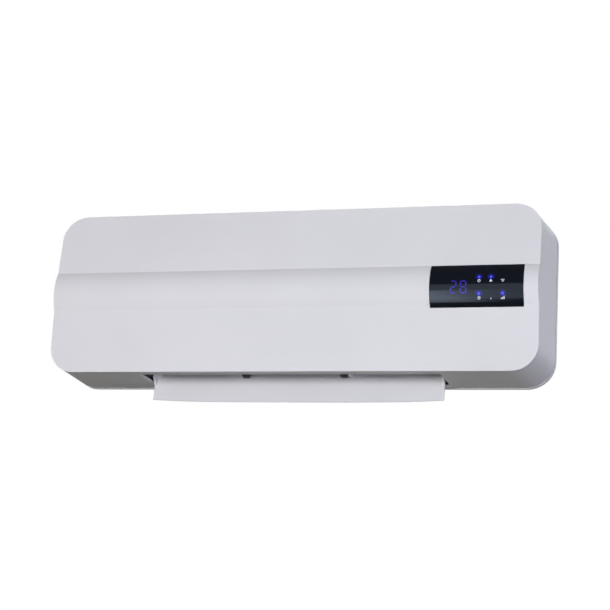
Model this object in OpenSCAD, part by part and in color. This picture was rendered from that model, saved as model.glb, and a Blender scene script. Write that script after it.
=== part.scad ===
// Wall-mounted ceramic fan heater: a drafted two-part casing hung on a steel bracket, a
// cross-flow fan blowing down through a ceramic heating block, and a swinging air flap.
// X runs along the heater, Y into the wall, Z up. The origin lies on the wall, midway
// between the bracket's two screw holes. The modules measure depths out from the wall and
// heights up from the underside of the casing.

/* [Casing] */
// Width of the casing at the wall
body_w = 550; // [520:5:600]
// Height of the casing at the wall
body_h = 186; // [182:1:200]
// Depth of the front panels where the band begins
body_d = 89.5; // [88:0.5:100]
// How far the top and each side draw in from the wall to the front
taper = 7.2; // [5:0.2:9]
// Radius of the four corners at the wall
corner_r = 30; // [28:1:36]
// How far the upper panel leans back at its top edge
top_lean = 6.5; // [4:0.5:8]
// How far the lower panel leans back at its bottom edge
foot_lean = 2.5; // [0:0.5:4]
// Thickness of the moulded casing walls
wall = 2.5; // [2:0.1:3]
// Depth of the recess behind the rear chassis
recess_d = 3; // [2.6:0.1:4]
// Gap of the parting lines and around inserts
seam = 0.3; // [0.2:0.05:0.4]

/* [Band] */
// Height of the band's lower crease above the underside
band_z = 69; // [60:1:76]
// Height of the band from crease to crease
band_h = 42.5; // [38:0.5:46]
// How far the band swells in front of its creases
band_bulge = 7; // [5:0.5:9]

/* [Display] */
// Width of the dark display window
window_w = 97; // [90:1:104]
// Distance from the window to the right edge of the front
window_edge = 15.5; // [12:0.5:20]
// Thickness of the display window
window_t = 2.2; // [1.8:0.1:2.4]
// Height of the two digits
digit_h = 13.5; // [10:0.5:16]
// Distance between the centres of the two digits
digit_pitch = 10.2; // [9:0.2:12]
// Distance between the columns of indicator lamps
lamp_pitch = 12.2; // [10:0.2:14]
// Distance between the two rows of indicator lamps
lamp_rows = 17.3; // [14:0.1:20]
// Diameter of one indicator lamp
lamp_d = 3; // [2:0.5:4]

/* [Outlet and flap] */
// Width of the air outlet
outlet_w = 332; // [320:2:336]
// Depth of the strip between the air outlet and the front panels
front_strip = 15.5; // [15:0.5:17]
// Distance from the wall to the outlet's rear edge
outlet_back = 14; // [14:0.5:16]
// Gap between each end of the flap and the outlet's end
flap_gap = 3; // [2:0.5:5]
// Thickness of the flap
flap_t = 2.5; // [2:0.1:3]
// Height of the flap's axis above the underside
pivot_z = 10.5; // [9:0.5:12]
// Chord of the flap in front of its axis
chord_front = 31.5; // [29:0.5:32]
// Gap in front of the closed flap and behind it
flap_edge_gap = 1.5; // [1:0.25:3]
// How far the flap's front edge draws back at its ends
flap_crown = 2.5; // [0:0.5:4]
// How far the flap stands open from its closed place
flap_angle = 83; // [60:1:90]
// Radius of the flap's end pins
pin_r = 2.5; // [2:0.1:3]
// Distance of each middle hook from the flap's centre
hook_x = 54; // [45:1:70]

/* [Fan] */
// How much less the cross-flow wheel measures across than the outlet is deep
fan_less = 4; // [3:0.5:8]
// Number of fan blades
blades = 30; // [24:2:36]
// Height of the fan's axis above the underside
fan_z = 130; // [128:0.5:134]
// How far the wheel stands forward of the outlet's front edge
fan_out = 2; // [0:0.5:3]
// Radius of the steel fan shafts
shaft_r = 2; // [1.5:0.1:2.5]
// Radial running clearance of the shafts and pins
run = 0.04; // [0.02:0.01:0.08]

/* [Heating block] */
// Height of the block's lower side above the underside
block_z = 60; // [54:1:64]
// Depth of the block in the air's direction
block_h = 22; // [18:1:26]
// Length of the holder at each end of the ceramic bars
holder_l = 16; // [14:1:26]
// Thickness of one ceramic bar
bar_t = 6; // [4:0.5:8]
// Pitch of the folded fins
fin_pitch = 6; // [5:0.5:8]
// Thickness of the fin sheet
fin_t = 0.8; // [0.6:0.1:1]

/* [Motor] */
// Length of the fan motor's lamination stack
stack_l = 18; // [14:1:22]
// Diameter of the motor's rotor
rotor_d = 25.4; // [22:0.2:27]
// Length of the standoffs between duct and motor
standoff = 10; // [8:1:14]

/* [Wall bracket] */
// Length of the steel wall bracket
bracket_w = 320; // [300:5:400]
// Height of the bracket's plate
bracket_h = 30; // [26:1:34]
// Height of the screw holes above the casing's underside
hang_z = 146; // [142:1:150]
// Thickness of the bracket's steel
steel_t = 1.5; // [1.2:0.1:1.8]
// Distance between the two wall screws
screw_span = 280; // [260:5:290]
// Radius of the wall screw holes
screw_r = 2.75; // [2.25:0.25:3.25]
// Distance of each hook from the bracket's centre
hanger_x = 100; // [80:5:115]
// Width of one hook
hanger_w = 24; // [16:1:30]

/* [Left side] */
// Depth of the cable gland's axis
gland_d = 24; // [20:1:28]
// Height of the cable gland's axis
gland_z = 40; // [36:1:44]
// Radius of the gland's bore for the supply cable
gland_r = 4; // [3:0.25:4.5]
// Depth of the rocker switch's centre
switch_d = 44; // [40:1:50]
// Height of the rocker switch's centre
switch_z = 92; // [80:1:110]
// Length of the rocker paddle
paddle_l = 14.8; // [13:0.2:16]
// How far the rocker tilts to each side of level
paddle_tilt = 10; // [6:1:12]

/* [Hidden] */
$fn = 64;

// Finishes
white = [0.93, 0.93, 0.95];
grey = [0.72, 0.73, 0.75];
dark = [0.12, 0.12, 0.13];
steel = [0.66, 0.67, 0.69];
copper = [0.72, 0.42, 0.24];
brass = [0.80, 0.66, 0.33];
green = [0.10, 0.35, 0.18];

// How far a cut runs past the face that it opens
over = 1;

// Casing
rim_d = recess_d + wall;
rim_w = 3;
band_top = band_z + band_h;
band_r = (band_h * band_h / 4 + band_bulge * band_bulge) / (2 * band_bulge);
band_mid = band_z + band_h / 2;
band_axis = body_d + band_bulge - band_r;
draft = atan(taper / body_d);
front_top = body_h - taper;
front_half = body_w / 2 - taper;
corner_ease = 2;
beyond = 20;
lip_h = 8;
lip_t = 2;
lip_r = corner_r - wall - seam;
post_r = 4.5;
post_in = 19;
post_x = front_half - post_in;
post_zs = [post_in, front_top - post_in];

// Screws: radius of the shank, radius of the head, height of the head
case_screw = [1.5, 3, 1.8];
small_screw = [1.2, 2.4, 1.4];
motor_screw = [2, 3.6, 2.4];
case_screw_l = 16;
thread_play = 0.05;
screw_pass = 0.2;

// Wall bracket
hook_room = 14;
hook_rise = 7;

// Display
window_x1 = front_half - window_edge;
window_x0 = window_x1 - window_w;
window_mid = (window_x0 + window_x1) / 2;
window_room = 0.5;
ledge_in = 2;
ledge_out = 1.5;
board_t = 1.6;
board_d = body_d - 6;
board_side = 6.5;
board_over = 5;
boss_r = 2.8;
boss_out = 3.2;
boss_up = 2;
boss_screw_l = 4;
digit_x = window_x0 + 30;
digit_z = band_mid - 4;
digit_edge = [5, 2];
segment_t = 1.2;
segment_gap = 0.3;
segment_deep = 2;
lamp_x = window_mid + 3;
lamp_z = band_mid + 6.4;
eye_x = window_x0 + 12;
eye_z = band_top - 10.5;

// Air duct
outlet_front = body_d - front_strip;
outlet_d = outlet_front - outlet_back;
duct_t = 2;
duct_back = outlet_back - duct_t;
duct_half = outlet_w / 2;
end_t = 2.5;
end_x = duct_half + end_t;
floor_z = wall + seam;
fan_d = outlet_d - fan_less;
fan_r = fan_d / 2;
fan_y = outlet_front + fan_out - fan_r;
scroll_gap = 6;
scroll_r = fan_r + scroll_gap;
scroll_y = duct_back + scroll_r;
scroll_z = fan_z - 4;
scroll_end = 65;
tongue_z = fan_z - 18;
tongue_r = 2;
grille_z = 42;
grille_t = 4;
ledge_w = 1.5;
ledge_h = 2;
root = 0.5;
foot_t = 2.5;
foot_w = 14;
foot_h = 20;
foot_zs = [34, 112];
foot_d = rim_d + foot_t;
foot_screw_l = 7;
end_front = outlet_front + 4;

// Flap
flap_half = duct_half - flap_gap;
pivot_y = outlet_front - flap_edge_gap - chord_front;
chord_rear = outlet_d - 2 * flap_edge_gap - chord_front;
eye_r = 4.5;
eye_w = 4;
eye_gap = 1;
web_t = 2.5;
web_front = 14;
web_rear = 12;
web_top = 2.5;
knuckle_t = 2;
mid_pin_r = 2;
stem_w = 5;
socket_l = 10;
pin_out = 1.5;

// Fan and its motor
fan_half = duct_half - 5;
disc_t = 2;
ring_t = 1.2;
blade_w = 8;
blade_t = 1;
blade_angle = 38;
hub_l = 12;
hub_r = 3 * shaft_r;
bush_r = 6;
rubber_r = 11;
bearing_w = 6.5;
seat_l = 3;
seat_t = 2.5;
bearing_x0 = -end_x - seat_l;
stub_x0 = bearing_x0 - 1;
motor_x = end_x + standoff;
plate_t = 3;
strap_half = 8;
stack_x = motor_x + plate_t;
stack_end = stack_x + stack_l;
air_gap = 0.3;
rotor_r = rotor_d / 2;
stack_in = 2;
hole_in = 4;
stack_half = fan_r - stack_in;
motor_hole = stack_half - hole_in;
yoke_t = 11;
standoff_r = 4.5;
motor_bush_r = 4;
boss_l = 7;
boss_t = 2.5;
shaft_pass = 9;
coil_half = 14;
coil_t = 6;
coil_play = 2;
coil_room = 1;
neck_h = 12;
limb_h = 10;
limb_z1 = fan_z - rotor_r - air_gap - neck_h - coil_t - coil_room;
limb_z0 = limb_z1 - limb_h;

// Heating block
block_in = 2.5;
block_y0 = duct_back + block_in;
block_y1 = outlet_front - block_in;
rail_t = 2;
fin_h = (block_y1 - block_y0 - 2 * rail_t - 2 * bar_t) / 3;
block_top = block_z + block_h;
holder_over = 2;
block_w = outlet_w - 2 * holder_l;
holder_x = block_w / 2;
fin_in = 1;
tab_t = 0.8;
tab_h = 6.3;
tab_z = block_z + 8;
tab_play = 0.05;
tab_room = 2;
tab_out = 9;
cutout_x = (holder_x + duct_half) / 2;
fuse_r = 2;
fuse_l = 12;
lead_r = 0.5;
lead_out = 6;

// Swing motor on the left end of the flap
can_r = 14;
can_l = 17;
can_z = pivot_z + 8;
ear_x = 17.5;
ear_r = 3.5;
ear_t = 0.8;
nose_r = 4.5;
nose_l = 1.5;
swing_x = -end_x - 2.5;
flat_half = 1.5;
drive_l = 7.5;

// Control board behind the right end of the lower panel
pcb_x0 = end_x + 8;
pcb_gap = 1.8;
pcb_w = post_x - post_r - pcb_gap - pcb_x0;
pcb_z0 = 14;
pcb_h = 60;
pcb_d = rim_d + 9;
pcb_face = pcb_d + board_t;
pcb_in = 4;
pcb_boss_r = 3;
pcb_screw_l = 8;
pcb_holes = [for (x = [pcb_in, pcb_w - pcb_in], z = [pcb_in, pcb_h - pcb_in]) [pcb_x0 + x, pcb_z0 + z]];
relay = [16, 15, 12];
relay_xs = [8, 30];
relay_z = pcb_z0 + 36;
core = [24, 19, 12];
winding = [18, 13, 20];
core_x = pcb_x0 + 6;
core_z = pcb_z0 + 13;
capacitor_r = 5;
capacitor_l = 14;
capacitor_in = 11;

// Wires between the terminal block, the boards and the display
loom_x = pcb_x0 + 26;
loom_step = 6;
loom_z = 80;
loom_d = pcb_d + 5;
loom_socket = [4, 9, 8];
loom_socket_z = pcb_z0 + pcb_h - 2;
loom_back = 0.2;
wire_r = 1.05;
wire_gap = 0.5;
ribbon_x = pcb_x0 + 38;
ribbon_w = 12;
ribbon_t = 0.6;
ribbon_z = pcb_z0 + 12;
ribbon_bend = 8;
ribbon_top = band_z - 3;
ribbon_socket = [2, 5, 3];

// Terminal block on the chassis at the left
term_z = 18;
pole = 11;
term_gap = 11.3;
term_x = post_r + term_gap + 1.5 * pole - post_x;
term_d = 15;
term_h = 18;
funnel_zs = [5, 13];
funnel_r = 3;
clamp_r = 2.4;

// Side switch, measured along the wall, up it and into it
bezel = [23, 17];
bezel_t = 1.5;
case_size = [19.4, 13.4];
case_deep = 16;
well = [17.4, 10.4];
well_deep = 9;
blade_out = 7;
rocker_in = 3;
rocker_pin_r = 1.2;
rocker_w = 9.8;
rocker_rise = 6;
rocker_dish = 1.6;

// Cable gland
gland_wall = 2;
flange_w = 4;
flange_t = 3;
nut_w = 4.5;
nut_t = 4;
gland_in = 7;

// Top intake
grille_less = 4;
grille_w = outlet_w - grille_less;
grille_in = outlet_back + grille_less;
grille_d = outlet_d - grille_less;
grille_edge = 4;
skirt_h = 6;
skirt_t = 1.5;
slot_w = 3.6;
slot_pitch = 8;
filter_edge = 3;
filter_t = 2;
mesh_t = 1;

// Depth of the front panels at a height
function panel_d(z) =
    z < band_z ? body_d - foot_lean * (1 - z / band_z)
    : z > band_top ? body_d - top_lean * (z - band_top) / (front_top - band_top)
    : body_d;

// How far the sides and the top have drawn in at a depth
function draw_in(d) = taper * d / body_d;

// Depth just behind the display window at a height
function window_back(z) =
    band_axis + sqrt(pow(band_r - window_t, 2) - pow(z - band_mid, 2)) - window_room;

// Moves what is measured from the underside to the frame of the screw holes
module from_underside() {
    translate([0, 0, -hang_z]) children();
}

// Extrudes an outline drawn in X and Z from one depth to another
module outwards(d0, d1) {
    translate([0, -d0, 0]) rotate([90, 0, 0]) linear_extrude(d1 - d0) children();
}

// Extrudes an outline drawn in Y and Z from one X to another
module along_x(x0, x1) {
    translate([x0, 0, 0]) rotate([90, 0, 90]) linear_extrude(x1 - x0) children();
}

// Round bar that runs outwards from the wall
module bar_out(x, z, d0, d1, r) {
    translate([x, -d0, z]) rotate([90, 0, 0]) cylinder(h = d1 - d0, r = r);
}

// Round bar along X at a depth and height
module bar_x(x0, x1, d, z, r) {
    translate([x0, -d, z]) rotate([0, 90, 0]) cylinder(h = x1 - x0, r = r);
}

// Block between two corners, given as X, depth and height
module block(a, b) {
    translate([a[0], -b[1], a[2]]) cube([b[0] - a[0], b[1] - a[1], b[2] - a[2]]);
}

// Places children on the left wall: X points out of the wall, Y forwards along it
module on_left(d, z) {
    translate([draw_in(d) - body_w / 2, -d, z]) rotate([0, 0, 180 + draft]) children();
}

// Block on the left wall, centred on its place, from one depth in the wall to another
module left_block(x0, x1, size) {
    translate([x0, -size[0] / 2, -size[1] / 2]) cube([x1 - x0, size[0], size[1]]);
}

// Places children on the sloping top: Z points out of it
module on_top() {
    translate([0, 0, body_h]) rotate([draft, 0, 0]) children();
}

// Puts children on the right, or mirrors them to the left for a side of minus one
module on_side(s) {
    mirror([s < 0 ? 1 : 0, 0, 0]) children();
}

// Rounded rectangle in X and Z that stands on a height
module rounded(half, z0, z1, r) {
    translate([-half, z0 + r]) square([2 * half, z1 - z0 - 2 * r]);
    translate([-half + r, z0]) square([2 * (half - r), z1 - z0]);
    for (x = [-half + r, half - r], z = [z0 + r, z1 - r]) translate([x, z]) circle(r);
}

// Outline of the casing at a depth, drawn in by an inset
module outline(d, inset) {
    half = body_w / 2 - draw_in(d) - inset;
    rounded(half, inset, body_h - draw_in(d) - inset, corner_r - corner_ease * d / body_d - inset);
}

// Side profile of the casing, with the front panels and the swelling band
module profile(inset) {
    translate([-band_axis, band_mid]) circle(band_r - inset);
    polygon([
        [beyond, -beyond], [inset - panel_d(-beyond), -beyond], [inset - body_d, band_z],
        [inset - body_d, band_top], [inset - panel_d(body_h + beyond), body_h + beyond],
        [beyond, body_h + beyond]
    ]);
}

// Solid inside the casing's surface from a depth to the front, drawn in by an inset
module envelope(inset, d0) {
    far = body_d + band_bulge + beyond;
    intersection() {
        hull() for (d = [d0, far]) outwards(d, d + 0.01) outline(d, inset);
        along_x(-body_w, body_w) profile(inset);
    }
}

// Case posts and screws share these places
module at_posts() {
    for (x = [-post_x, post_x], z = post_zs) translate([x, 0, z]) children();
}

// Screw whose head lies at a depth and whose shank runs outwards
module screw_out(d, length, kind) {
    bar_out(0, 0, d - kind[2], d, kind[1]);
    bar_out(0, 0, d, d + length, kind[0]);
}

// Screw whose head lies further from the wall than its shank
module screw_in(d, length, kind) {
    bar_out(0, 0, d, d + kind[2], kind[1]);
    bar_out(0, 0, d - length, d, kind[0]);
}

// Casing
module front_shell() from_underside() color(white) difference() {
    union() {
        difference() {
            envelope(0, rim_d + seam);
            envelope(wall, -over);
        }
        shell_posts();
        intersection() {
            outwards(board_d, body_d + band_bulge) window_frame();
            along_x(window_x0 - beyond, window_x1 + beyond) profile(wall);
        }
        at_window_bosses() bar_out(0, 0, board_d, body_d - wall / 2, boss_r);
    }
    window_cut();
    outlet_cut();
    intake_cut();
    gland_cut();
    switch_cut();
    at_posts() bar_out(0, 0, rim_d, recess_d + case_screw_l + 2, case_screw[0] + thread_play);
    at_window_bosses()
        bar_out(0, 0, board_d - over, board_d + boss_screw_l + 0.5, small_screw[0] + thread_play);
}

// Posts that reach from the chassis to the inside of the front panels
module shell_posts() {
    for (x = [-post_x, post_x], z = post_zs)
        bar_out(x, z, rim_d + seam, panel_d(z) - wall / 2, post_r);
}

// Ledge round the window's opening
module window_frame() difference() {
    translate([window_x0 - ledge_out, band_z - ledge_out])
        square([window_w + 2 * ledge_out, band_h + 2 * ledge_out]);
    translate([window_x0 + ledge_in, band_z + ledge_in])
        square([window_w - 2 * ledge_in, band_h - 2 * ledge_in]);
}

module at_window_bosses() {
    for (x = [window_x0 - boss_out, window_x1 + boss_out], z = [band_z - boss_up, band_top + boss_up])
        translate([x, 0, z]) children();
}

module window_cut() {
    deep = wall + seam;
    translate([window_x0 - seam, -body_d - band_bulge - over, band_z])
        cube([window_w + 2 * seam, band_bulge + over + deep, band_h]);
    along_x(window_x0 - seam, window_x1 + seam) difference() {
        translate([-band_axis, band_mid]) circle(band_r + over);
        translate([-band_axis, band_mid]) circle(band_r - wall);
        translate([-body_d, 0]) square([body_d + beyond, body_h]);
    }
}

module outlet_cut() {
    block([-duct_half, outlet_back, -over], [duct_half, outlet_front, wall + over]);
}

module intake_cut() {
    on_top() translate([-grille_w / 2 - seam, -grille_in - grille_d - seam, -2 * wall])
        cube([grille_w + 2 * seam, grille_d + 2 * seam, 4 * wall]);
}

module gland_cut() {
    on_left(gland_d, gland_z) rotate([0, 90, 0])
        cylinder(h = 4 * wall, r = gland_r + gland_wall + seam, center = true);
}

module switch_cut() {
    on_left(switch_d, switch_z)
        left_block(-2 * wall, 2 * wall, [case_size[0] + 2 * seam, case_size[1] + 2 * seam]);
}

module rear_chassis() from_underside() color(white) {
    difference() {
        union() {
            outwards(0, rim_d) outline(0, 0);
            outwards(rim_d, rim_d + lip_h) lip();
            for (p = pcb_holes) bar_out(p[0], p[1], rim_d - over, pcb_d, pcb_boss_r);
        }
        outwards(-over, recess_d) outline(0, rim_w);
        at_posts() bar_out(0, 0, 0, rim_d + over, case_screw[0] + screw_pass);
        for (x = [-hanger_x, hanger_x]) hanger_slot(x);
        for (p = pcb_holes) bar_out(p[0], p[1], rim_d, pcb_d + over, small_screw[0] + thread_play);
        at_feet() foot_hole();
    }
    at_feet() difference() {
        bar_out(0, 0, rim_d - foot_screw_l + foot_t - 0.6, recess_d, 4);
        foot_hole();
    }
}

// Lip that centres the front shell, open along the bottom where the duct stands
module lip() {
    half = body_w / 2 - draw_in(rim_d + lip_h) - floor_z;
    top = body_h - draw_in(rim_d + lip_h) - floor_z;
    difference() {
        rounded(half, floor_z, top, lip_r);
        rounded(half - lip_t, floor_z + lip_t, top - lip_t, lip_r - lip_t);
        translate([-end_x - over, 0]) square([2 * (end_x + over), floor_z + lip_t + over]);
    }
}

module foot_hole() {
    bar_out(0, 0, -over, rim_d + over, case_screw[0] + thread_play);
}

// Slot that a bracket hook reaches through, its upper edge hanging on the hook
module hanger_slot(x) {
    top = hang_z + bracket_h / 2;
    half = hanger_w / 2 + 1;
    block([x - half, recess_d - over, top - hook_room], [x + half, rim_d + over, top]);
}

module wall_bracket() from_underside() color(steel) difference() {
    union() {
        block([-bracket_w / 2, 0, hang_z - bracket_h / 2],
              [bracket_w / 2, steel_t, hang_z + bracket_h / 2]);
        for (x = [-hanger_x, hanger_x]) hanger(x);
    }
    for (x = [-screw_span / 2, screw_span / 2]) bar_out(x, hang_z, -over, steel_t + over, screw_r);
}

// Hook bent out of the bracket's upper edge
module hanger(x) {
    top = hang_z + bracket_h / 2;
    tip = rim_d + seam;
    half = hanger_w / 2;
    block([x - half, 0, top - steel_t], [x + half, tip + steel_t, top]);
    block([x - half, tip, top - steel_t], [x + half, tip + steel_t, top + hook_rise]);
}

module case_screws() from_underside() color(steel) {
    at_posts() screw_out(recess_d, case_screw_l, case_screw);
}

// Display
module display_window() from_underside() color(dark) along_x(window_x0, window_x1) intersection() {
    difference() {
        translate([-band_axis, band_mid]) circle(band_r);
        translate([-band_axis, band_mid]) circle(band_r - window_t);
    }
    translate([-body_d - band_bulge - over, band_z + seam])
        square([band_bulge + over + 2 * wall, band_h - 2 * seam]);
}

module display_board() from_underside() color(green) difference() {
    block([window_x0 - board_side, board_d - board_t, band_z - board_over],
          [window_x1 + board_side, board_d, band_top + board_over]);
    at_window_bosses() bar_out(0, 0, 0, body_d, small_screw[0] + screw_pass);
}

module display_screws() from_underside() color(steel) {
    at_window_bosses() screw_out(board_d - board_t, board_t + boss_screw_l, small_screw);
}

// Two seven-segment digits in one case
module digit_display() from_underside() color([0.9, 0.9, 0.92]) {
    half = digit_pitch / 2 + digit_edge[0];
    z0 = digit_z - digit_h / 2 - digit_edge[1];
    z1 = digit_z + digit_h / 2 + digit_edge[1];
    face = window_back(z0);
    difference() {
        block([digit_x - half, board_d, z0], [digit_x + half, face, z1]);
        for (x = [-digit_pitch / 2, digit_pitch / 2])
            outwards(face - segment_deep, face + over) translate([digit_x + x, digit_z]) segments();
    }
}

// Outlines of the seven light wells of one digit
module segments() {
    w = digit_h / 2;
    t = segment_t;
    bar = w - 2 * t - 2 * segment_gap;
    for (z = [-1, 0, 1]) translate([-bar / 2, z * (digit_h - t) / 2 - t / 2]) square([bar, t]);
    for (x = [-w / 2, w / 2 - t], z = [t - digit_h / 2, t / 2])
        translate([x, z]) square([t, digit_h / 2 - 1.5 * t]);
}

module indicator_lamps() from_underside() color([0.35, 0.40, 0.95]) {
    face = window_back(lamp_z - lamp_rows - lamp_d / 2);
    for (column = [0:2], row = [0, 1])
        bar_out(lamp_x + column * lamp_pitch, lamp_z - row * lamp_rows, board_d, face, lamp_d / 2);
}

// Receiver for the remote control, a block with a round lens
module ir_receiver() from_underside() color(dark) {
    half = 3;
    lens_r = 2.2;
    block([eye_x - half, board_d, eye_z - half], [eye_x + half, board_d + half, eye_z + half]);
    translate([eye_x, -board_d - half, eye_z]) sphere(r = lens_r);
}

// Top intake
module intake_grille() from_underside() color(white) on_top() translate([0, -grille_in, 0]) {
    cells = floor((grille_w - 2 * grille_edge) / slot_pitch);
    first = -(cells - 1) * slot_pitch / 2;
    slot_l = grille_d / 2 - 1.5 * grille_edge;
    difference() {
        translate([-grille_w / 2, -grille_d, -wall]) cube([grille_w, grille_d, wall]);
        for (i = [0:cells - 1], y = [grille_edge, grille_d / 2 + grille_edge / 2])
            translate([first + i * slot_pitch - slot_w / 2, y - grille_d, -wall - over])
                cube([slot_w, slot_l, wall + 2 * over]);
    }
    translate([-grille_w / 2, -grille_d, -wall - skirt_h]) difference() {
        cube([grille_w, grille_d, skirt_h]);
        translate([skirt_t, skirt_t, -over])
            cube([grille_w - 2 * skirt_t, grille_d - 2 * skirt_t, skirt_h + 2 * over]);
    }
}

// Washable mesh in a frame, held inside the grille's skirt
module dust_filter() from_underside() color(grey) on_top() {
    w = grille_w - 2 * (skirt_t + seam);
    d = grille_d - 2 * (skirt_t + seam);
    strips = 12;
    edge = filter_edge;
    translate([-w / 2, -grille_in - grille_d + skirt_t + seam, -wall - seam - filter_t]) {
        difference() {
            cube([w, d, filter_t]);
            translate([edge, edge, -over]) cube([w - 2 * edge, d - 2 * edge, filter_t + 2 * over]);
        }
        translate([0, edge - 1, (filter_t - mesh_t) / 2])
            for (i = [1:strips - 1])
                translate([(i * w - mesh_t) / strips, 0, 0]) cube([mesh_t, d - 2 * edge + 2, mesh_t]);
        translate([edge - 1, 0, (filter_t - mesh_t) / 2])
            for (i = [1:3]) translate([0, i * d / 4, 0]) cube([w - 2 * edge + 2, mesh_t, mesh_t]);
    }
}

// Air duct
module duct_rear() from_underside() color(grey) along_x(-duct_half, duct_half) {
    reach = 2 * scroll_r;
    translate([-duct_back, floor_z]) square([duct_t, scroll_z - floor_z]);
    translate([-scroll_y, scroll_z]) intersection() {
        difference() {
            circle(scroll_r + duct_t);
            circle(scroll_r);
        }
        polygon([[0, 0], [reach, 0], [reach, reach], [reach / tan(scroll_end), reach]]);
    }
    translate([-duct_back - ledge_w, grille_z - ledge_h]) square([ledge_w + root, ledge_h - seam]);
}

module duct_front() from_underside() color(grey) along_x(-duct_half, duct_half) {
    translate([-outlet_front - duct_t, floor_z]) square([duct_t, tongue_z - floor_z]);
    translate([-outlet_front - duct_t / 2, tongue_z]) circle(tongue_r);
    translate([-outlet_front - root, grille_z - ledge_h]) square([ledge_w + root, ledge_h - seam]);
}

// Outline of a duct end plate in Y and Z
module end_outline() {
    translate([-end_front, floor_z]) square([end_front - foot_d, scroll_z - floor_z]);
    translate([-scroll_y, scroll_z]) circle(scroll_r + duct_t);
}

// Feet that screw an end plate to the chassis, on the outer side of the plate
module feet(x0, x1) {
    for (z = foot_zs) {
        block([x0, rim_d, z - foot_h / 2], [x1, foot_d, z + foot_h / 2]);
        block([x0, rim_d, z - foot_h / 2], [x0 + end_t, duct_back + end_t, z + foot_h / 2]);
    }
}

module at_feet() {
    for (x = [-end_x - foot_w / 2, end_x + foot_w / 2], z = foot_zs) translate([x, 0, z]) children();
}

module duct_end_left() from_underside() color(grey) difference() {
    union() {
        along_x(-end_x, -duct_half) end_outline();
        on_side(-1) feet(duct_half, end_x + foot_w);
        bar_x(bearing_x0, -duct_half, fan_y, fan_z, rubber_r + seat_t);
        at_swing_ears() bar_x(swing_x, -duct_half, 0, 0, ear_r);
    }
    bar_x(bearing_x0 - over, over - duct_half, fan_y, fan_z, rubber_r);
    bar_x(swing_x - over, over - duct_half, pivot_y, pivot_z, nose_r + seam);
    at_feet() bar_out(0, 0, 0, duct_back, case_screw[0] + screw_pass);
    at_swing_ears() bar_x(swing_x - over, over - duct_half, 0, 0, case_screw[0] + thread_play);
}

module duct_end_right() from_underside() color(grey) difference() {
    union() {
        along_x(duct_half, end_x) end_outline();
        feet(duct_half, end_x + foot_w);
        at_motor_screws() bar_x(end_x - over, motor_x, 0, 0, standoff_r);
        bar_x(end_x - over, end_x + 2 * pin_out, pivot_y, pivot_z, pin_r + end_t);
    }
    bar_x(duct_half - over, end_x + over, fan_y, fan_z, shaft_pass);
    bar_x(duct_half - over, end_x + pin_out + seam, pivot_y, pivot_z, pin_r + run);
    at_feet() bar_out(0, 0, 0, duct_back, case_screw[0] + screw_pass);
    at_motor_screws() bar_x(duct_half - over, motor_x + over, 0, 0, motor_screw[0] + thread_play);
    terminal_slots();
}

module terminal_slots() {
    for (d = bar_ds())
        block([duct_half - over, d - bar_t / 2, tab_z - tab_room],
              [end_x + over, d + bar_t / 2, tab_z + tab_h + tab_room]);
}

module duct_screws() from_underside() color(steel) {
    at_feet() screw_in(foot_d, foot_screw_l, case_screw);
}

// Finger guard across the outlet duct
module outlet_grille() from_underside() color(grey) {
    half = duct_half - seam;
    d0 = duct_back + seam;
    d1 = outlet_front - seam;
    edge = 3;
    bays = 12;
    rows = 5;
    bar = [2, 1.6];
    translate([-half, -d1, grille_z]) linear_extrude(grille_t) {
        difference() {
            square([2 * half, d1 - d0]);
            translate([edge, edge]) square([2 * (half - edge), d1 - d0 - 2 * edge]);
        }
        for (i = [1:bays - 1])
            translate([i * 2 * half / bays - bar[0] / 2, 1]) square([bar[0], d1 - d0 - 2]);
        for (i = [1:rows])
            translate([1, i * (d1 - d0) / (rows + 1) - bar[1] / 2]) square([2 * half - 2, bar[1]]);
    }
}

// Depths of the two ceramic bars
function bar_ds() = [for (i = [1, 2]) block_y0 + rail_t + i * fin_h + (i - 0.5) * bar_t];

// Corners of a folded strip of n folds: along its lower side, then back along its upper side
function folded_strip(n, h) =
    let (
        half = fin_pitch / 2,
        lower = [[0, -h], [half + fin_t, -h], [half + fin_t, h - fin_t], [fin_pitch, h - fin_t]],
        upper = [[fin_t, fin_t - h], [half, fin_t - h], [half, h], [fin_pitch + fin_t, h]]
    )
    concat(
        [for (i = [0:n - 1], c = lower) [i * fin_pitch, 0] + c],
        [for (i = [n - 1:-1:0], k = [3:-1:0]) [i * fin_pitch, 0] + upper[k]]
    );

// Heating block
module block_frame() from_underside() color([0.82, 0.80, 0.74]) {
    for (s = [-1, 1]) on_side(s) difference() {
        block([holder_x, block_y0, block_z - holder_over],
              [duct_half - seam, block_y1, block_top + holder_over]);
        if (s > 0) for (d = bar_ds()) tab(d, holder_x - over, duct_half, tab_play);
    }
    for (d = [block_y0, block_y1 - rail_t])
        block([-holder_x, d, block_z + fin_in], [holder_x, d + rail_t, block_top - fin_in]);
}

// Flat terminal blade at the depth of a ceramic bar, grown by a play
module tab(d, x0, x1, play) {
    half = tab_t / 2 + play;
    block([x0, d - half, tab_z - play], [x1, d + half, tab_z + tab_h + play]);
}

module ceramic_bars() from_underside() color([0.78, 0.77, 0.74]) {
    for (d = bar_ds()) block([-holder_x, d - bar_t / 2, block_z], [holder_x, d + bar_t / 2, block_top]);
}

// Three banks of folded sheet, bonded between the bars and the side rails
module heating_fins() from_underside() color([0.80, 0.81, 0.83]) {
    folds = floor((block_w - 2 * fin_in - fin_t) / fin_pitch);
    first = block_y0 + rail_t + fin_h / 2;
    for (i = [0:2])
        translate([-folds * fin_pitch / 2, -first - i * (fin_h + bar_t), block_z + fin_in])
            linear_extrude(block_h - 2 * fin_in) polygon(folded_strip(folds, fin_h / 2));
}

module block_terminals() from_underside() color(brass) {
    for (d = bar_ds()) tab(d, holder_x, end_x + tab_out, 0);
}

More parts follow.
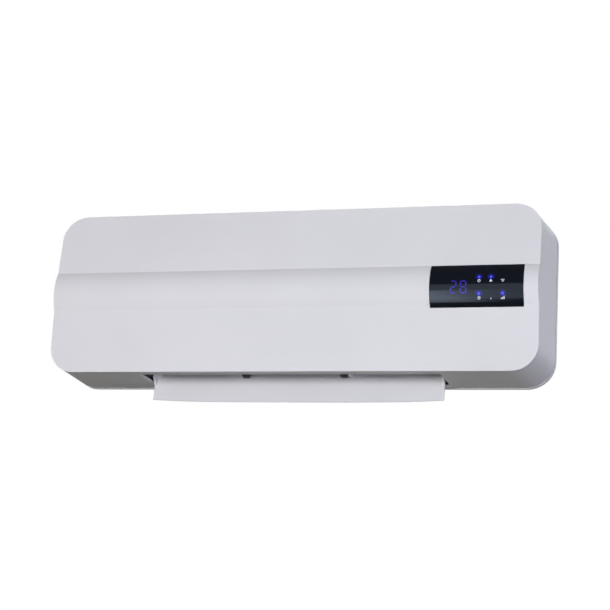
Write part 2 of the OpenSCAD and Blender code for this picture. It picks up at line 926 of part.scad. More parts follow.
// Bimetal cut-out on the block's right holder, with its two mounting tabs
module thermal_cutout() from_underside() color(dark) {
    base = [6.5, 5];
    cap = [5, 3];
    lug = [4, 6, 1];
    translate([cutout_x, -fan_y, block_top + holder_over]) {
        cylinder(h = base[1], r = base[0]);
        translate([0, 0, base[1]]) cylinder(h = cap[1], r = cap[0]);
        for (s = [-1, 1]) translate([-lug[0] / 2, s * 8 - lug[1] / 2, 0]) cube(lug);
    }
}

// One-shot fuse in its sleeve on the left holder, with its bent leads
module thermal_fuse() from_underside() color([0.88, 0.86, 0.80]) {
    lift = fuse_r + 0.2;
    translate([-cutout_x, -fan_y, block_top + holder_over + lift]) {
        rotate([90, 0, 0]) cylinder(h = fuse_l, r = fuse_r, center = true);
        rotate([90, 0, 0]) cylinder(h = fuse_l + 2 * lead_out, r = lead_r, center = true);
        for (s = [-1, 1])
            translate([0, s * (fuse_l / 2 + lead_out - lead_r), -lift]) cylinder(h = lift, r = lead_r);
    }
}

// Fan
module fan_wheel() from_underside() color(grey) translate([0, -fan_y, fan_z]) rotate([0, 90, 0]) {
    rings = 5;
    difference() {
        union() {
            for (s = [-1, 1]) translate([0, 0, s * (fan_half - disc_t / 2)])
                cylinder(h = disc_t, r = fan_r, center = true);
            for (s = [-1, 1]) translate([0, 0, s * (fan_half - hub_l / 2)])
                cylinder(h = hub_l, r = hub_r, center = true);
            for (i = [1:rings]) translate([0, 0, -fan_half + i * 2 * fan_half / (rings + 1)]) fan_ring();
            translate([0, 0, disc_t / 2 - fan_half]) linear_extrude(2 * fan_half - disc_t)
                for (i = [0:blades - 1]) rotate(i * 360 / blades) blade();
        }
        for (s = [-1, 1]) translate([0, 0, s * fan_half])
            cylinder(h = 2 * hub_l, r = shaft_r, center = true);
    }
}

module fan_ring() difference() {
    cylinder(h = ring_t, r = fan_r, center = true);
    cylinder(h = ring_t + over, r = fan_r - blade_w - 1, center = true);
}

module blade() {
    translate([fan_r - blade_w / 2 - 0.6, 0]) rotate(blade_angle) square([blade_w, blade_t], center = true);
}

module fan_stub_shaft() from_underside() color(steel) {
    bar_x(stub_x0, hub_l - fan_half, fan_y, fan_z, shaft_r);
}

module fan_bearing() from_underside() color(brass) ring_x(bearing_x0, bush_r, shaft_r + run, bearing_w);

module bearing_rubber() from_underside() color(dark) ring_x(bearing_x0, rubber_r, bush_r, bearing_w);

// Ring on the fan's axis
module ring_x(x, outer, inner, length) difference() {
    bar_x(x, x + length, fan_y, fan_z, outer);
    bar_x(x - over, x + length + over, fan_y, fan_z, inner);
}

// Shaded-pole fan motor
module motor_shaft() from_underside() color(steel) {
    bar_x(fan_half - hub_l, stack_end + plate_t + boss_l + 1, fan_y, fan_z, shaft_r);
}

module motor_rotor() from_underside() color(steel) ring_x(stack_x + 1, rotor_r, shaft_r, stack_l - 2);

module at_motor_screws() {
    for (s = [-1, 1]) translate([0, -fan_y + s * motor_hole, fan_z]) children();
}

// Laminated frame with the rotor's bore and a window for the coil round its lower limb
module motor_stator() from_underside() color([0.45, 0.46, 0.48]) difference() {
    x0 = stack_x - over;
    x1 = stack_end + over;
    half = coil_half + coil_play;
    block([stack_x, fan_y - stack_half, limb_z0], [stack_end, fan_y + stack_half, fan_z + rotor_r + yoke_t]);
    bar_x(x0, x1, fan_y, fan_z, rotor_r + air_gap);
    block([x0, fan_y - half, limb_z1], [x1, fan_y + half, limb_z1 + coil_t + coil_room]);
    at_motor_screws() bar_x(x0, x1, 0, 0, motor_screw[0] + thread_play);
}

module motor_coil() from_underside() color(copper) difference() {
    block([stack_x - coil_t, fan_y - coil_half, limb_z0 - coil_t],
          [stack_end + coil_t, fan_y + coil_half, limb_z1 + coil_t]);
    block([stack_x, fan_y - coil_half - over, limb_z0], [stack_end, fan_y + coil_half + over, limb_z1]);
}

module motor_bracket_inner() from_underside() color(steel) motor_bracket(motor_x, -boss_l);

module motor_bracket_outer() from_underside() color(steel) motor_bracket(stack_end, plate_t);

// Strap across the stack whose boss starts at an offset and holds a bush
module motor_bracket(x, boss_at) difference() {
    union() {
        block([x, fan_y - stack_half, fan_z - strap_half],
              [x + plate_t, fan_y + stack_half, fan_z + strap_half]);
        bar_x(x + boss_at, x + boss_at + boss_l, fan_y, fan_z, motor_bush_r + boss_t);
    }
    bar_x(x - boss_l - over, x + plate_t + boss_l + over, fan_y, fan_z, motor_bush_r);
    at_motor_screws() bar_x(x - over, x + plate_t + over, 0, 0, motor_screw[0] + thread_play);
}

module motor_bushes() from_underside() color(brass) {
    for (x = [motor_x - boss_l, stack_end]) ring_x(x, motor_bush_r, shaft_r + run, boss_l + plate_t);
}

module motor_screws() from_underside() color(steel) at_motor_screws() {
    head = stack_end + plate_t;
    bar_x(end_x + 2, head, 0, 0, motor_screw[0]);
    bar_x(head, head + motor_screw[2], 0, 0, motor_screw[1]);
}

// Flap, drawn closed round its axis and then swung open
module flap_frame() {
    translate([0, -pivot_y, pivot_z]) rotate([flap_angle, 0, 0]) children();
}

module flap() from_underside() color(white) flap_frame() {
    hook_end = hook_x + eye_w / 2;
    difference() {
        union() {
            intersection() {
                along_x(-flap_half, flap_half) flap_section();
                translate([0, 0, -pivot_z - over]) linear_extrude(2 * pivot_z) flap_outline();
            }
            for (s = [-1, 1], x = [flap_half - web_t, hook_end + eye_gap])
                on_side(s) along_x(x, x + web_t) web_section();
            bar_x(-flap_half, socket_l - flap_half, 0, 0, pin_r + knuckle_t);
        }
        bar_x(-flap_half - over, socket_l - flap_half, 0, 0, pin_r);
    }
    bar_x(flap_half - over, end_x + pin_out, 0, 0, pin_r);
    for (s = [-1, 1])
        on_side(s) bar_x(hook_x - eye_w / 2 - root, hook_end + eye_gap + root, 0, 0, mid_pin_r);
    key_flats();
}

// Fills the two flats of the drive shaft inside the flap's socket
module key_flats() intersection() {
    bar_x(-flap_half, socket_l - flap_half, 0, 0, pin_r);
    for (z = [-pin_r, flat_half])
        translate([-flap_half, -pin_r, z]) cube([socket_l, 2 * pin_r, pin_r - flat_half]);
}

// Section of the flap about its axis: a plate with rounded edges
module flap_section() {
    r = flap_t / 2;
    translate([r - chord_front, -pivot_z]) square([chord_front + chord_rear - flap_t, flap_t]);
    for (y = [r - chord_front, chord_rear - r]) translate([y, r - pivot_z]) circle(r);
}

// Plan of the flap, its front edge crowned towards the middle
module flap_outline() {
    steps = 12;
    polygon(concat(
        [[flap_half, chord_rear], [-flap_half, chord_rear]],
        [for (i = [-steps:steps]) [flap_half * i / steps, flap_crown * pow(i / steps, 4) - chord_front]]
    ));
}

// Web that carries a pin on the flap
module web_section() {
    plate = flap_t - pivot_z - root;
    circle(pin_r + knuckle_t);
    polygon([[-web_front, plate], [web_rear, plate], [pin_r + 1, web_top], [-pin_r - 1, web_top]]);
}

// Dark hooks under the finger guard that carry the flap's middle pins
module flap_hooks() from_underside() color(dark) {
    for (s = [-1, 1]) on_side(s) along_x(hook_x - eye_w / 2, hook_x + eye_w / 2)
        translate([-pivot_y, pivot_z]) difference() {
            union() {
                circle(eye_r);
                translate([-stem_w / 2, 0]) square([stem_w, grille_z - pivot_z]);
                translate([-stem_w, grille_z - pivot_z - ledge_h]) square([2 * stem_w, ledge_h]);
            }
            circle(mid_pin_r + run);
        }
}

// Geared swing motor behind the duct's left end
module at_swing_ears() {
    for (s = [-1, 1]) translate([0, -pivot_y + s * ear_x, can_z]) children();
}

module swing_motor() from_underside() color(steel) difference() {
    union() {
        bar_x(swing_x - can_l, swing_x, pivot_y, can_z, can_r);
        bar_x(swing_x, nose_l - end_x, pivot_y, pivot_z, nose_r);
        at_swing_ears() bar_x(swing_x - ear_t, swing_x, 0, 0, ear_r);
        block([swing_x - ear_t, pivot_y - ear_x, can_z - ear_r], [swing_x, pivot_y + ear_x, can_z + ear_r]);
    }
    bar_x(swing_x - drive_l - root, nose_l - end_x + over, pivot_y, pivot_z, pin_r + run);
    at_swing_ears() bar_x(swing_x - ear_t - over, swing_x + over, 0, 0, case_screw[0] + screw_pass);
}

// Drive shaft with two flats where it sits in the flap
module swing_motor_shaft() from_underside() color(brass) flap_frame() {
    bar_x(swing_x - drive_l, -flap_half, 0, 0, pin_r);
    intersection() {
        bar_x(-flap_half, socket_l - flap_half, 0, 0, pin_r);
        translate([-flap_half, -pin_r, -flat_half]) cube([socket_l, 2 * pin_r, 2 * flat_half]);
    }
}

module swing_motor_screws() from_underside() color(steel) at_swing_ears() {
    head = swing_x - ear_t;
    bar_x(head, -duct_half - root, 0, 0, case_screw[0]);
    bar_x(head - case_screw[2], head, 0, 0, case_screw[1]);
}

// Electronics
module control_board() from_underside() color(green) {
    difference() {
        block([pcb_x0, pcb_d, pcb_z0], [pcb_x0 + pcb_w, pcb_face, pcb_z0 + pcb_h]);
        for (p = pcb_holes) bar_out(p[0], p[1], pcb_d - over, pcb_face + over, small_screw[0] + screw_pass);
    }
    loom_end = loom_x + 2 * loom_step;
    block([loom_x - loom_socket[0], pcb_face, loom_socket_z - loom_socket[2]],
          [loom_end + loom_socket[0], pcb_face + loom_socket[1], loom_socket_z]);
    ribbon_end = ribbon_x + ribbon_w;
    block([ribbon_x - ribbon_socket[0], pcb_face, ribbon_z - ribbon_socket[2]],
          [ribbon_end + ribbon_socket[0], pcb_face + ribbon_socket[1], ribbon_z + ribbon_socket[2]]);
}

module board_screws() from_underside() color(steel) {
    for (p = pcb_holes) translate([p[0], 0, p[1]]) screw_in(pcb_face, pcb_screw_l, small_screw);
}

module relays() from_underside() color([0.15, 0.30, 0.60]) {
    for (x = relay_xs) translate([pcb_x0 + x, 0, 0])
        block([0, pcb_face, relay_z], [relay[0], pcb_face + relay[1], relay_z + relay[2]]);
}

// Small supply transformer beside its smoothing capacitor
module transformer() from_underside() color([0.55, 0.50, 0.30]) {
    on_board = [core_x + core[0] / 2, pcb_face + core[1] / 2, core_z + core[2] / 2];
    standing = [core[0] / 2, core[1] / 2, core[2] / 2];
    coil = [winding[0] / 2, winding[1] / 2, winding[2] / 2];
    block(on_board - standing, on_board + standing);
    block(on_board - coil, on_board + coil);
    bar_out(pcb_x0 + pcb_w - capacitor_in, pcb_z0 + pcb_h / 2, pcb_face, pcb_face + capacitor_l, capacitor_r);
}

// Three-pole terminal block for the supply cable
module terminal_block() from_underside() color([0.90, 0.90, 0.86]) {
    face = rim_d + term_d;
    gap = 1.2;
    difference() {
        block([term_x - 1.5 * pole, rim_d, term_z], [term_x + 1.5 * pole, face, term_z + term_h]);
        for (i = [-1:1], z = funnel_zs)
            bar_out(term_x + i * pole, term_z + z, face - 9, face + over, funnel_r);
        for (i = [-0.5, 0.5]) translate([term_x + i * pole, 0, term_z])
            block([-gap / 2, face - 4, -over], [gap / 2, face + over, term_h + over]);
    }
    for (i = [-1:1], z = funnel_zs)
        bar_out(term_x + i * pole, term_z + z, face - 9 - root, face - 6, clamp_r);
}

// Round wire through a list of corners
module wire(points, r) {
    for (i = [1:len(points) - 1]) wire_run(points[i - 1], points[i], r);
    for (i = [1:len(points) - 2]) translate(points[i]) sphere(r);
}

// Straight run between two points that differ along one axis
module wire_run(a, b, r) {
    span = b - a;
    turn = span[0] != 0 ? [0, 90, 0] : span[1] != 0 ? [-90, 0, 0] : [0, 0, 0];
    low = span[0] + span[1] + span[2] > 0 ? a : b;
    translate(low) rotate(turn) cylinder(h = norm(span), r = r);
}

// Wires from the terminal block, behind the duct, to the control board
module wiring_loom() from_underside() color([0.75, 0.15, 0.12]) {
    start = -rim_d - term_d * 2 / 3;
    behind = -rim_d - loom_back - wire_r;
    for (i = [0:2]) {
        x0 = term_x + (i - 1) * pole;
        x1 = loom_x + i * loom_step;
        z = loom_z + i * (2 * wire_r + wire_gap);
        wire([
            [x0, start, term_z + term_h], [x0, start, z], [x0, behind, z], [x1, behind, z],
            [x1, -loom_d, z], [x1, -loom_d, loom_socket_z]
        ], wire_r);
    }
}

// Flat ribbon from the back of the display board to the control board
module display_ribbon() from_underside() color(grey) along_x(ribbon_x, ribbon_x + ribbon_w) {
    far = board_d - board_t;
    near = pcb_face + ribbon_socket[1];
    bend = ribbon_bend;
    t = ribbon_t;
    translate([-far, ribbon_z + bend]) square([t, ribbon_top - ribbon_z - bend]);
    translate([bend - far, ribbon_z + bend]) difference() {
        circle(bend);
        circle(bend - t);
        translate([0, -beyond]) square([beyond, 2 * beyond]);
        translate([-beyond, 0]) square([2 * beyond, beyond]);
    }
    translate([bend - far, ribbon_z]) square([far - bend - near, t]);
}

// Left side
module switch_housing() from_underside() color(dark) on_left(switch_d, switch_z) difference() {
    union() {
        left_block(0, bezel_t, bezel);
        left_block(-case_deep, root, case_size);
        for (y = [-5, 5]) translate([0, y, 0]) left_block(-case_deep - blade_out, 1 - case_deep, [0.8, 4.8]);
    }
    left_block(-well_deep, 2 * bezel_t, well);
    translate([-rocker_in, 0, -case_size[1] / 2 + root])
        cylinder(h = case_size[1] - 2 * root, r = rocker_pin_r + run);
}

// Paddle tipped to its on side
module rocker() from_underside() color([0.20, 0.20, 0.22]) on_left(switch_d, switch_z)
    translate([-rocker_in, 0, 0]) rotate([0, 0, paddle_tilt]) {
        half = paddle_l / 2;
        heel = [1.5, -1.8, 3];
        translate([0, 0, -rocker_w / 2]) linear_extrude(rocker_w) polygon([
            [rocker_rise, -half], [rocker_rise - rocker_dish, 0], [rocker_rise, half], [heel[0], half],
            [heel[1], heel[2]], [heel[1], -heel[2]], [heel[0], -half]
        ]);
        cylinder(h = case_size[1] - 3 * root, r = rocker_pin_r, center = true);
    }

// Cable gland, with its flange outside and its clamping nut inside
module cable_gland() from_underside() color(dark) on_left(gland_d, gland_z) rotate([0, 90, 0]) difference() {
    union() {
        cylinder(h = flange_t, r = gland_r + flange_w);
        translate([0, 0, -wall - gland_in]) cylinder(h = wall + gland_in, r = gland_r + gland_wall);
        translate([0, 0, -wall - nut_t - 0.2]) cylinder(h = nut_t, r = gland_r + nut_w, $fn = 6);
    }
    translate([0, 0, -wall - gland_in - over])
        cylinder(h = wall + gland_in + flange_t + 2 * over, r = gland_r);
}

front_shell();
rear_chassis();
wall_bracket();
case_screws();
display_window();
display_board();
display_screws();
digit_display();
indicator_lamps();
ir_receiver();
intake_grille();
dust_filter();
duct_rear();
duct_front();
duct_end_left();
duct_end_right();
duct_screws();
outlet_grille();
block_frame();
ceramic_bars();
heating_fins();
block_terminals();
thermal_cutout();
thermal_fuse();
fan_wheel();
fan_stub_shaft();
fan_bearing();
bearing_rubber();
motor_shaft();
motor_rotor();
motor_stator();
motor_coil();
motor_bracket_inner();
motor_bracket_outer();
motor_bushes();
motor_screws();
flap();
flap_hooks();
swing_motor();
swing_motor_shaft();
swing_motor_screws();
control_board();
board_screws();
relays();
transformer();
terminal_block();
switch_housing();
rocker();
cable_gland();
wiring_loom();
display_ribbon();
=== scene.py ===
"""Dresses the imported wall-mounted fan heater and lights it as in its photograph.

Sizes are in millimetres where nothing else is said. A place is given as X along the heater, depth
out from the wall and height above the underside of the casing, and `place` turns it into metres in
the frame of the wall screws.
"""
import logging
import math
from collections.abc import Callable, Iterator, Sequence
from contextlib import contextmanager
from dataclasses import dataclass
from enum import Enum

import bmesh
import bpy
from mathutils import Matrix, Vector


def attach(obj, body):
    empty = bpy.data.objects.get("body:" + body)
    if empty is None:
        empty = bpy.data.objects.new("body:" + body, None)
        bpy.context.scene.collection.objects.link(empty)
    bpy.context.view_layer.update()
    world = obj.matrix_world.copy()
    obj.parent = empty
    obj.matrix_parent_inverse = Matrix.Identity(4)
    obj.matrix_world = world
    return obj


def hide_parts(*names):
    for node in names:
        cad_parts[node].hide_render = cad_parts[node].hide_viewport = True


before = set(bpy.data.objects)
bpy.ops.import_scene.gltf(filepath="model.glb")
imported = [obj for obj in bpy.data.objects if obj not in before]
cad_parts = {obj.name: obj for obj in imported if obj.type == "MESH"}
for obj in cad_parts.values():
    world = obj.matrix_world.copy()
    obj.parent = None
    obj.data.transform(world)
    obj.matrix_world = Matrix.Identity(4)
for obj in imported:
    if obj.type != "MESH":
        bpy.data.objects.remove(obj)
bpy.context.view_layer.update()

log = logging.getLogger("heater")

# Millimetres in a metre.
MM = 1000.0
# Turn that makes a flat primitive face forwards.
UPRIGHT = (math.radians(90), 0.0, 0.0)
# Height of the wall screws, where the shared frame has its origin.
HANG_HEIGHT = 146.0
# How far a shape reaches past what is trimmed off it.
HIDDEN_ROOM = 20.0
# Distances in metres within which two places count as the same and two vertices are merged.
NEAR, MERGED = 0.0002, 0.000001
# How far a printed mark stands off its surface and how thick it is, in metres.
PRINT_GAP, PRINT_BODY = 0.00004, 0.00006
# Places of the screws that stand out from the wall: along the heater, and height.
CASE_SCREWS = tuple((x, z) for z in (19.0, 159.8) for x in (-248.8, 248.8))
DUCT_SCREWS = tuple((x, z) for x in (-175.5, 175.5) for z in (34.0, 112.0))
BOARD_SCREWS = tuple((x, z) for x in (180.5, 238.5) for z in (18.0, 70.0))
DISPLAY_SCREWS = tuple((x, z) for x in (152.1, 255.5) for z in (67.0, 113.5))

Pair = tuple[float, float]
Triple = tuple[float, float, float]
Colour = Triple
# A test is told the measures of a vertex, an edge or a face.
Test = Callable[..., bool]

BLACK: Colour = (0.0, 0.0, 0.0)
FULL_WHITE: Colour = (1.0, 1.0, 1.0)


def place(x: float, depth: float, height: float) -> Vector:
    """Turns millimetres along, out of and up the wall into metres in the shared frame."""
    return Vector((x, -depth, height - HANG_HEIGHT)) / MM


def span(x: float, depth: float, height: float) -> Vector:
    """Turns a distance in millimetres into metres in the shared frame."""
    return Vector((x, -depth, height)) / MM


class Body(Enum):
    """Bodies that pieces ride on."""

    CASING = "casing"
    FLAP = "flap"
    ROCKER = "rocker"


class Axis(Enum):
    """World axes, with their place in a vector."""

    X = 0
    Y = 1
    Z = 2


def shaded(colour: Colour, share: float) -> Colour:
    """Makes a colour darker or lighter by a factor."""
    return tuple(c * share for c in colour)


def along(axis: Axis, least: float, sharp: float = -1.0) -> Test:
    """Makes a test for edges that run along an axis.

    Args:
        axis: The axis.
        least: How far they run along it at least, in millimetres.
        sharp: Angle that their faces have to exceed, in degrees.

    Returns:
        The test.
    """
    return lambda middle, run, angle: abs(run[axis.value]) > least / MM and angle > sharp


def sharper(least: float) -> Test:
    """Makes a test for edges whose faces meet at more than some degrees."""
    return lambda middle, run, angle: angle > least


def operator(operation: str, swapped: bool = False) -> Callable[["Value", "Operand"], "Value"]:
    """Makes an operator of shader values.

    Args:
        operation: Name of the Math node's operation.
        swapped: Whether the value that has the operator stands on the right.

    Returns:
        The method for the operator.
    """
    def apply(value: "Value", other: "Operand") -> "Value":
        """Adds the Math node for both operands."""
        pair = (other, value) if swapped else (value, other)
        return value.graph.node("ShaderNodeMath", {"operation": operation}, dict(enumerate(pair)))

    return apply


class Value:
    """One shader value that takes part in Python expressions."""

    def __init__(self, graph: "Graph", socket: bpy.types.NodeSocket) -> None:
        """Wraps an output socket of a node."""
        self.graph = graph
        self.socket = socket

    __add__, __radd__ = operator("ADD"), operator("ADD", swapped=True)
    __sub__, __rsub__ = operator("SUBTRACT"), operator("SUBTRACT", swapped=True)
    __mul__, __rmul__ = operator("MULTIPLY"), operator("MULTIPLY", swapped=True)
    __truediv__, __rtruediv__ = operator("DIVIDE"), operator("DIVIDE", swapped=True)
    __mod__ = operator("FLOORED_MODULO")
    __pow__ = operator("POWER")
    __lt__, __gt__ = operator("LESS_THAN"), operator("GREATER_THAN")

    def __abs__(self) -> "Value":
        """Drops the sign."""
        return self.graph.node("ShaderNodeMath", {"operation": "ABSOLUTE"}, {0: self})

    def ramp(self, low: float, high: float) -> "Value":
        """Rises smoothly from zero at one level to one at another."""
        settings = {"interpolation_type": "SMOOTHSTEP"}
        return self.graph.node("ShaderNodeMapRange", settings, {0: self, 1: low, 2: high})


Operand = Value | float


class Graph:
    """Node tree of one material or world, filled by expressions."""

    def __init__(self, tree: bpy.types.NodeTree) -> None:
        """Empties a tree and keeps it."""
        self.tree = tree
        tree.nodes.clear()

    def node(self, kind: str, settings: dict[str, object], inputs: dict[str | int, object],
             output: str | int = 0) -> Value:
        """Adds one node.

        Args:
            kind: Blender's type name of the node.
            settings: Properties that are set first.
            inputs: Values or links for the input sockets, by name or place.
            output: Name or place of the output to return.

        Returns:
            The chosen output.
        """
        made = self.tree.nodes.new(kind)
        for name, setting in settings.items():
            setattr(made, name, setting)
        for name, given in inputs.items():
            self.feed(made.inputs[name], given)
        return Value(self, made.outputs[output])

    def feed(self, socket: bpy.types.NodeSocket, given: object) -> None:
        """Links a value to an input or sets the input's own value.

        Args:
            socket: The input socket.
            given: A value to link, or a plain number or colour.
        """
        if isinstance(given, Value):
            self.tree.links.new(given.socket, socket)
        elif socket.type == "RGBA" and not isinstance(given, (int, float)):
            socket.default_value = (*given, 1.0) if len(given) == 3 else given
        else:
            socket.default_value = given

    def place(self) -> Value:
        """Gives the place on the object in metres."""
        return self.node("ShaderNodeTexCoord", {}, {}, "Object")

    def axes(self, vector: Value) -> tuple[Value, Value, Value]:
        """Splits a vector.

        Args:
            vector: The vector.

        Returns:
            Its three parts.
        """
        first = self.node("ShaderNodeSeparateXYZ", {}, {0: vector})
        outputs = first.socket.node.outputs
        return first, Value(self, outputs[1]), Value(self, outputs[2])

    def noise(self, scale: float, detail: float = 2.0, stretch: Triple = (1.0, 1.0, 1.0)) -> Value:
        """Adds noise in object coordinates.

        Args:
            scale: How fine it is.
            detail: Number of finer layers in it.
            stretch: Factors along the axes.

        Returns:
            The noise.
        """
        where = self.node("ShaderNodeMapping", {}, {"Vector": self.place(), "Scale": stretch})
        inputs = {"Vector": where, "Scale": scale, "Detail": detail}
        return self.node("ShaderNodeTexNoise", {}, inputs)

    def mix(self, factor: Operand, first: object, second: object) -> Value:
        """Mixes two colours.

        Args:
            factor: Share of the second.
            first: The first colour or value.
            second: The second colour or value.

        Returns:
            The mixed colour.
        """
        inputs = {"Factor": factor, "A": first, "B": second}
        made = self.tree.nodes.new("ShaderNodeMix")
        made.data_type = "RGBA"
        for socket in made.inputs:
            used = socket.type == "RGBA" or socket.identifier == "Factor_Float"
            if used and socket.name in inputs:
                self.feed(socket, inputs[socket.name])
        return Value(self, next(o for o in made.outputs if o.type == "RGBA"))

    def bump(self, height: Value, depth: float, strength: float = 1.0) -> Value:
        """Turns a height into a normal."""
        inputs = {"Height": height, "Distance": depth, "Strength": strength}
        return self.node("ShaderNodeBump", {}, inputs)

    def surface(self, sockets: dict[str, object]) -> None:
        """Ends the graph in a Principled surface.

        Args:
            sockets: Values or links for the shader's inputs.
        """
        shader = self.node("ShaderNodeBsdfPrincipled", {}, sockets)
        out = self.tree.nodes.new("ShaderNodeOutputMaterial")
        self.tree.links.new(shader.socket, out.inputs["Surface"])


@dataclass(frozen=True)
class Finish:
    """A finish that is made once and shared by the pieces that have it."""

    name: str
    slot: str

    def material(self) -> bpy.types.Material:
        """Makes the finish's material when it is first asked for.

        Returns:
            The material.
        """
        made = bpy.data.materials.get(self.name)
        if made is None:
            made = bpy.data.materials.new(self.name)
            made.use_nodes = True
            self.draw(Graph(made.node_tree))
        return made

    def draw(self, graph: Graph) -> None:
        """Fills the material's graph."""
        raise NotImplementedError


@dataclass(frozen=True)
class Moulded(Finish):
    """Injection-moulded plastic with a fine spark-eroded grain."""

    colour: Colour = (0.8, 0.8, 0.8)
    shade: float = 0.97
    roughness: float = 0.42
    grain: float = 2600.0
    relief: float = 0.00002
    specular: float = 0.5
    unevenness: float = 0.08

    def draw(self, graph: Graph) -> None:
        """Draws slow colour drift, a fine grain and a little unevenness in the gloss.

        Args:
            graph: The material's graph.
        """
        drift = graph.noise(9.0, detail=3.0).ramp(0.3, 0.7)
        grain = graph.noise(self.grain, detail=2.0)
        flow = graph.noise(60.0, detail=2.0)
        darker = shaded(self.colour, self.shade)
        graph.surface({
            "Base Color": graph.mix(drift, darker, self.colour),
            "Roughness": self.roughness + (flow - 0.5) * self.unevenness,
            "Specular IOR Level": self.specular,
            "Normal": graph.bump(grain, depth=self.relief, strength=0.5),
        })


@dataclass(frozen=True)
class Metal(Finish):
    """Bare or plated metal with rolling or drawing marks along one axis."""

    colour: Colour = (0.6, 0.6, 0.62)
    shade: float = 0.8
    roughness: float = 0.35
    marks: Triple = (20.0, 400.0, 400.0)
    patches: float = 160.0
    unevenness: float = 0.18

    def draw(self, graph: Graph) -> None:
        """Draws patches of plating and fine marks.

        Args:
            graph: The material's graph.
        """
        cells = {"Vector": graph.place(), "Scale": self.patches}
        patches = graph.node("ShaderNodeTexVoronoi", {}, cells)
        tone = patches * 0.5 + graph.noise(40.0, detail=4.0) * 0.5
        marks = graph.noise(6.0, detail=3.0, stretch=self.marks)
        darker = shaded(self.colour, self.shade)
        graph.surface({
            "Base Color": graph.mix(tone.ramp(0.1, 0.8), darker, self.colour),
            "Metallic": 1.0,
            "Roughness": self.roughness + (marks - 0.5) * self.unevenness,
            "Normal": graph.bump(marks, depth=0.00003, strength=0.4),
        })


@dataclass(frozen=True)
class Smoked(Finish):
    """Near-black smoked window with a polished face and the lamps' glow behind it."""

    colour: Colour = (0.0035, 0.0045, 0.009)
    roughness: float = 0.11
    glow: Colour = (0.016, 0.018, 0.36)
    spread: float = 4.6
    lamps: tuple[Pair, ...] = ()

    def draw(self, graph: Graph) -> None:
        """Draws a deep tint with a trace of haze and a soft patch of light over each lamp.

        Args:
            graph: The material's graph.
        """
        haze = graph.noise(220.0, detail=3.0).ramp(0.35, 0.75)
        x, _, z = graph.axes(graph.place())
        light = 0.0
        for lamp_x, lamp_z in self.lamps:
            middle = place(lamp_x, 0, lamp_z)
            away = ((x - middle.x) ** 2.0 + (z - middle.z) ** 2.0) ** 0.5
            light = light + (1.0 - away.ramp(0.0, self.spread / MM))
        graph.surface({
            "Base Color": graph.mix(haze, self.colour, shaded(self.colour, 1.25)),
            "Emission Color": graph.mix(light, BLACK, self.glow),
            "Emission Strength": 1.0,
            "Roughness": self.roughness + haze * 0.03,
            "Specular IOR Level": 0.5,
            "Specular Tint": (0.74, 0.86, 1.0),
        })


@dataclass(frozen=True)
class Lit(Finish):
    """Mark that light shines through, or a printed mark given a painted glow."""

    colour: Colour = (1.0, 1.0, 1.0)
    power: float = 1.0

    def draw(self, graph: Graph) -> None:
        """Draws an even glow with a faint unevenness of the diffuser.

        Args:
            graph: The material's graph.
        """
        spread = graph.noise(900.0, detail=1.0).ramp(0.2, 0.8)
        dimmer = shaded(self.colour, 0.85)
        graph.surface({
            "Base Color": graph.mix(spread, dimmer, self.colour),
            "Emission Color": graph.mix(spread, dimmer, self.colour),
            "Emission Strength": self.power,
            "Roughness": 0.3 + spread * 0.05,
        })


@dataclass(frozen=True)
class Woven(Finish):
    """Fine square-woven filter mesh with open cells, whose width is in metres."""

    thread: float = 0.32
    cell: float = 0.0011
    colour: Colour = (0.30, 0.31, 0.33)

    def draw(self, graph: Graph) -> None:
        """Draws the threads along both directions and leaves the cells open.

        Args:
            graph: The material's graph.
        """
        x, y, _ = graph.axes(graph.place())
        lengthwise, crosswise = (abs((a / self.cell) % 1.0 - 0.5) * 2.0 for a in (x, y))
        edge = (0.9 - self.thread, 1.1 - self.thread)
        threads = 1.0 - (1.0 - lengthwise.ramp(*edge)) * (1.0 - crosswise.ramp(*edge))
        tone = graph.noise(300.0, detail=2.0)
        graph.surface({
            "Base Color": graph.mix(tone, shaded(self.colour, 0.8), self.colour),
            "Alpha": threads,
            "Roughness": 0.6 + tone * 0.1,
        })


@dataclass(frozen=True)
class Circuit(Finish):
    """Green solder mask over copper tracks, with tinned pads."""

    mask: Colour = (0.010, 0.085, 0.035)
    track: Colour = (0.030, 0.160, 0.065)
    tin: Colour = (0.60, 0.60, 0.57)

    def draw(self, graph: Graph) -> None:
        """Draws tracks in an offset grid and round pads in some of its cells.

        Args:
            graph: The material's graph.
        """
        x, _, z = graph.axes(graph.place())
        flat = graph.node("ShaderNodeCombineXYZ", {}, {0: x, 1: z})
        rows = {"Vector": flat, "Scale": 130.0, "Mortar Size": 0.035, "Mortar Smooth": 0.2}
        tracks = graph.node("ShaderNodeTexBrick", {"offset": 0.37, "offset_frequency": 3}, rows, 1)
        spots = {"Vector": flat, "Scale": 380.0, "Randomness": 0.6}
        cells = graph.node("ShaderNodeTexVoronoi", {}, spots)
        pads = (1.0 - cells.ramp(0.24, 0.30)) * graph.noise(110.0, detail=1.0).ramp(0.52, 0.56)
        mask = graph.mix(tracks, self.mask, self.track)
        graph.surface({
            "Base Color": graph.mix(pads, mask, self.tin),
            "Metallic": pads * 0.9,
            "Roughness": 0.36 - pads * 0.1 + graph.noise(500.0, detail=2.0) * 0.06,
            "Normal": graph.bump(tracks + pads * 1.5, depth=0.00004, strength=0.6),
        })


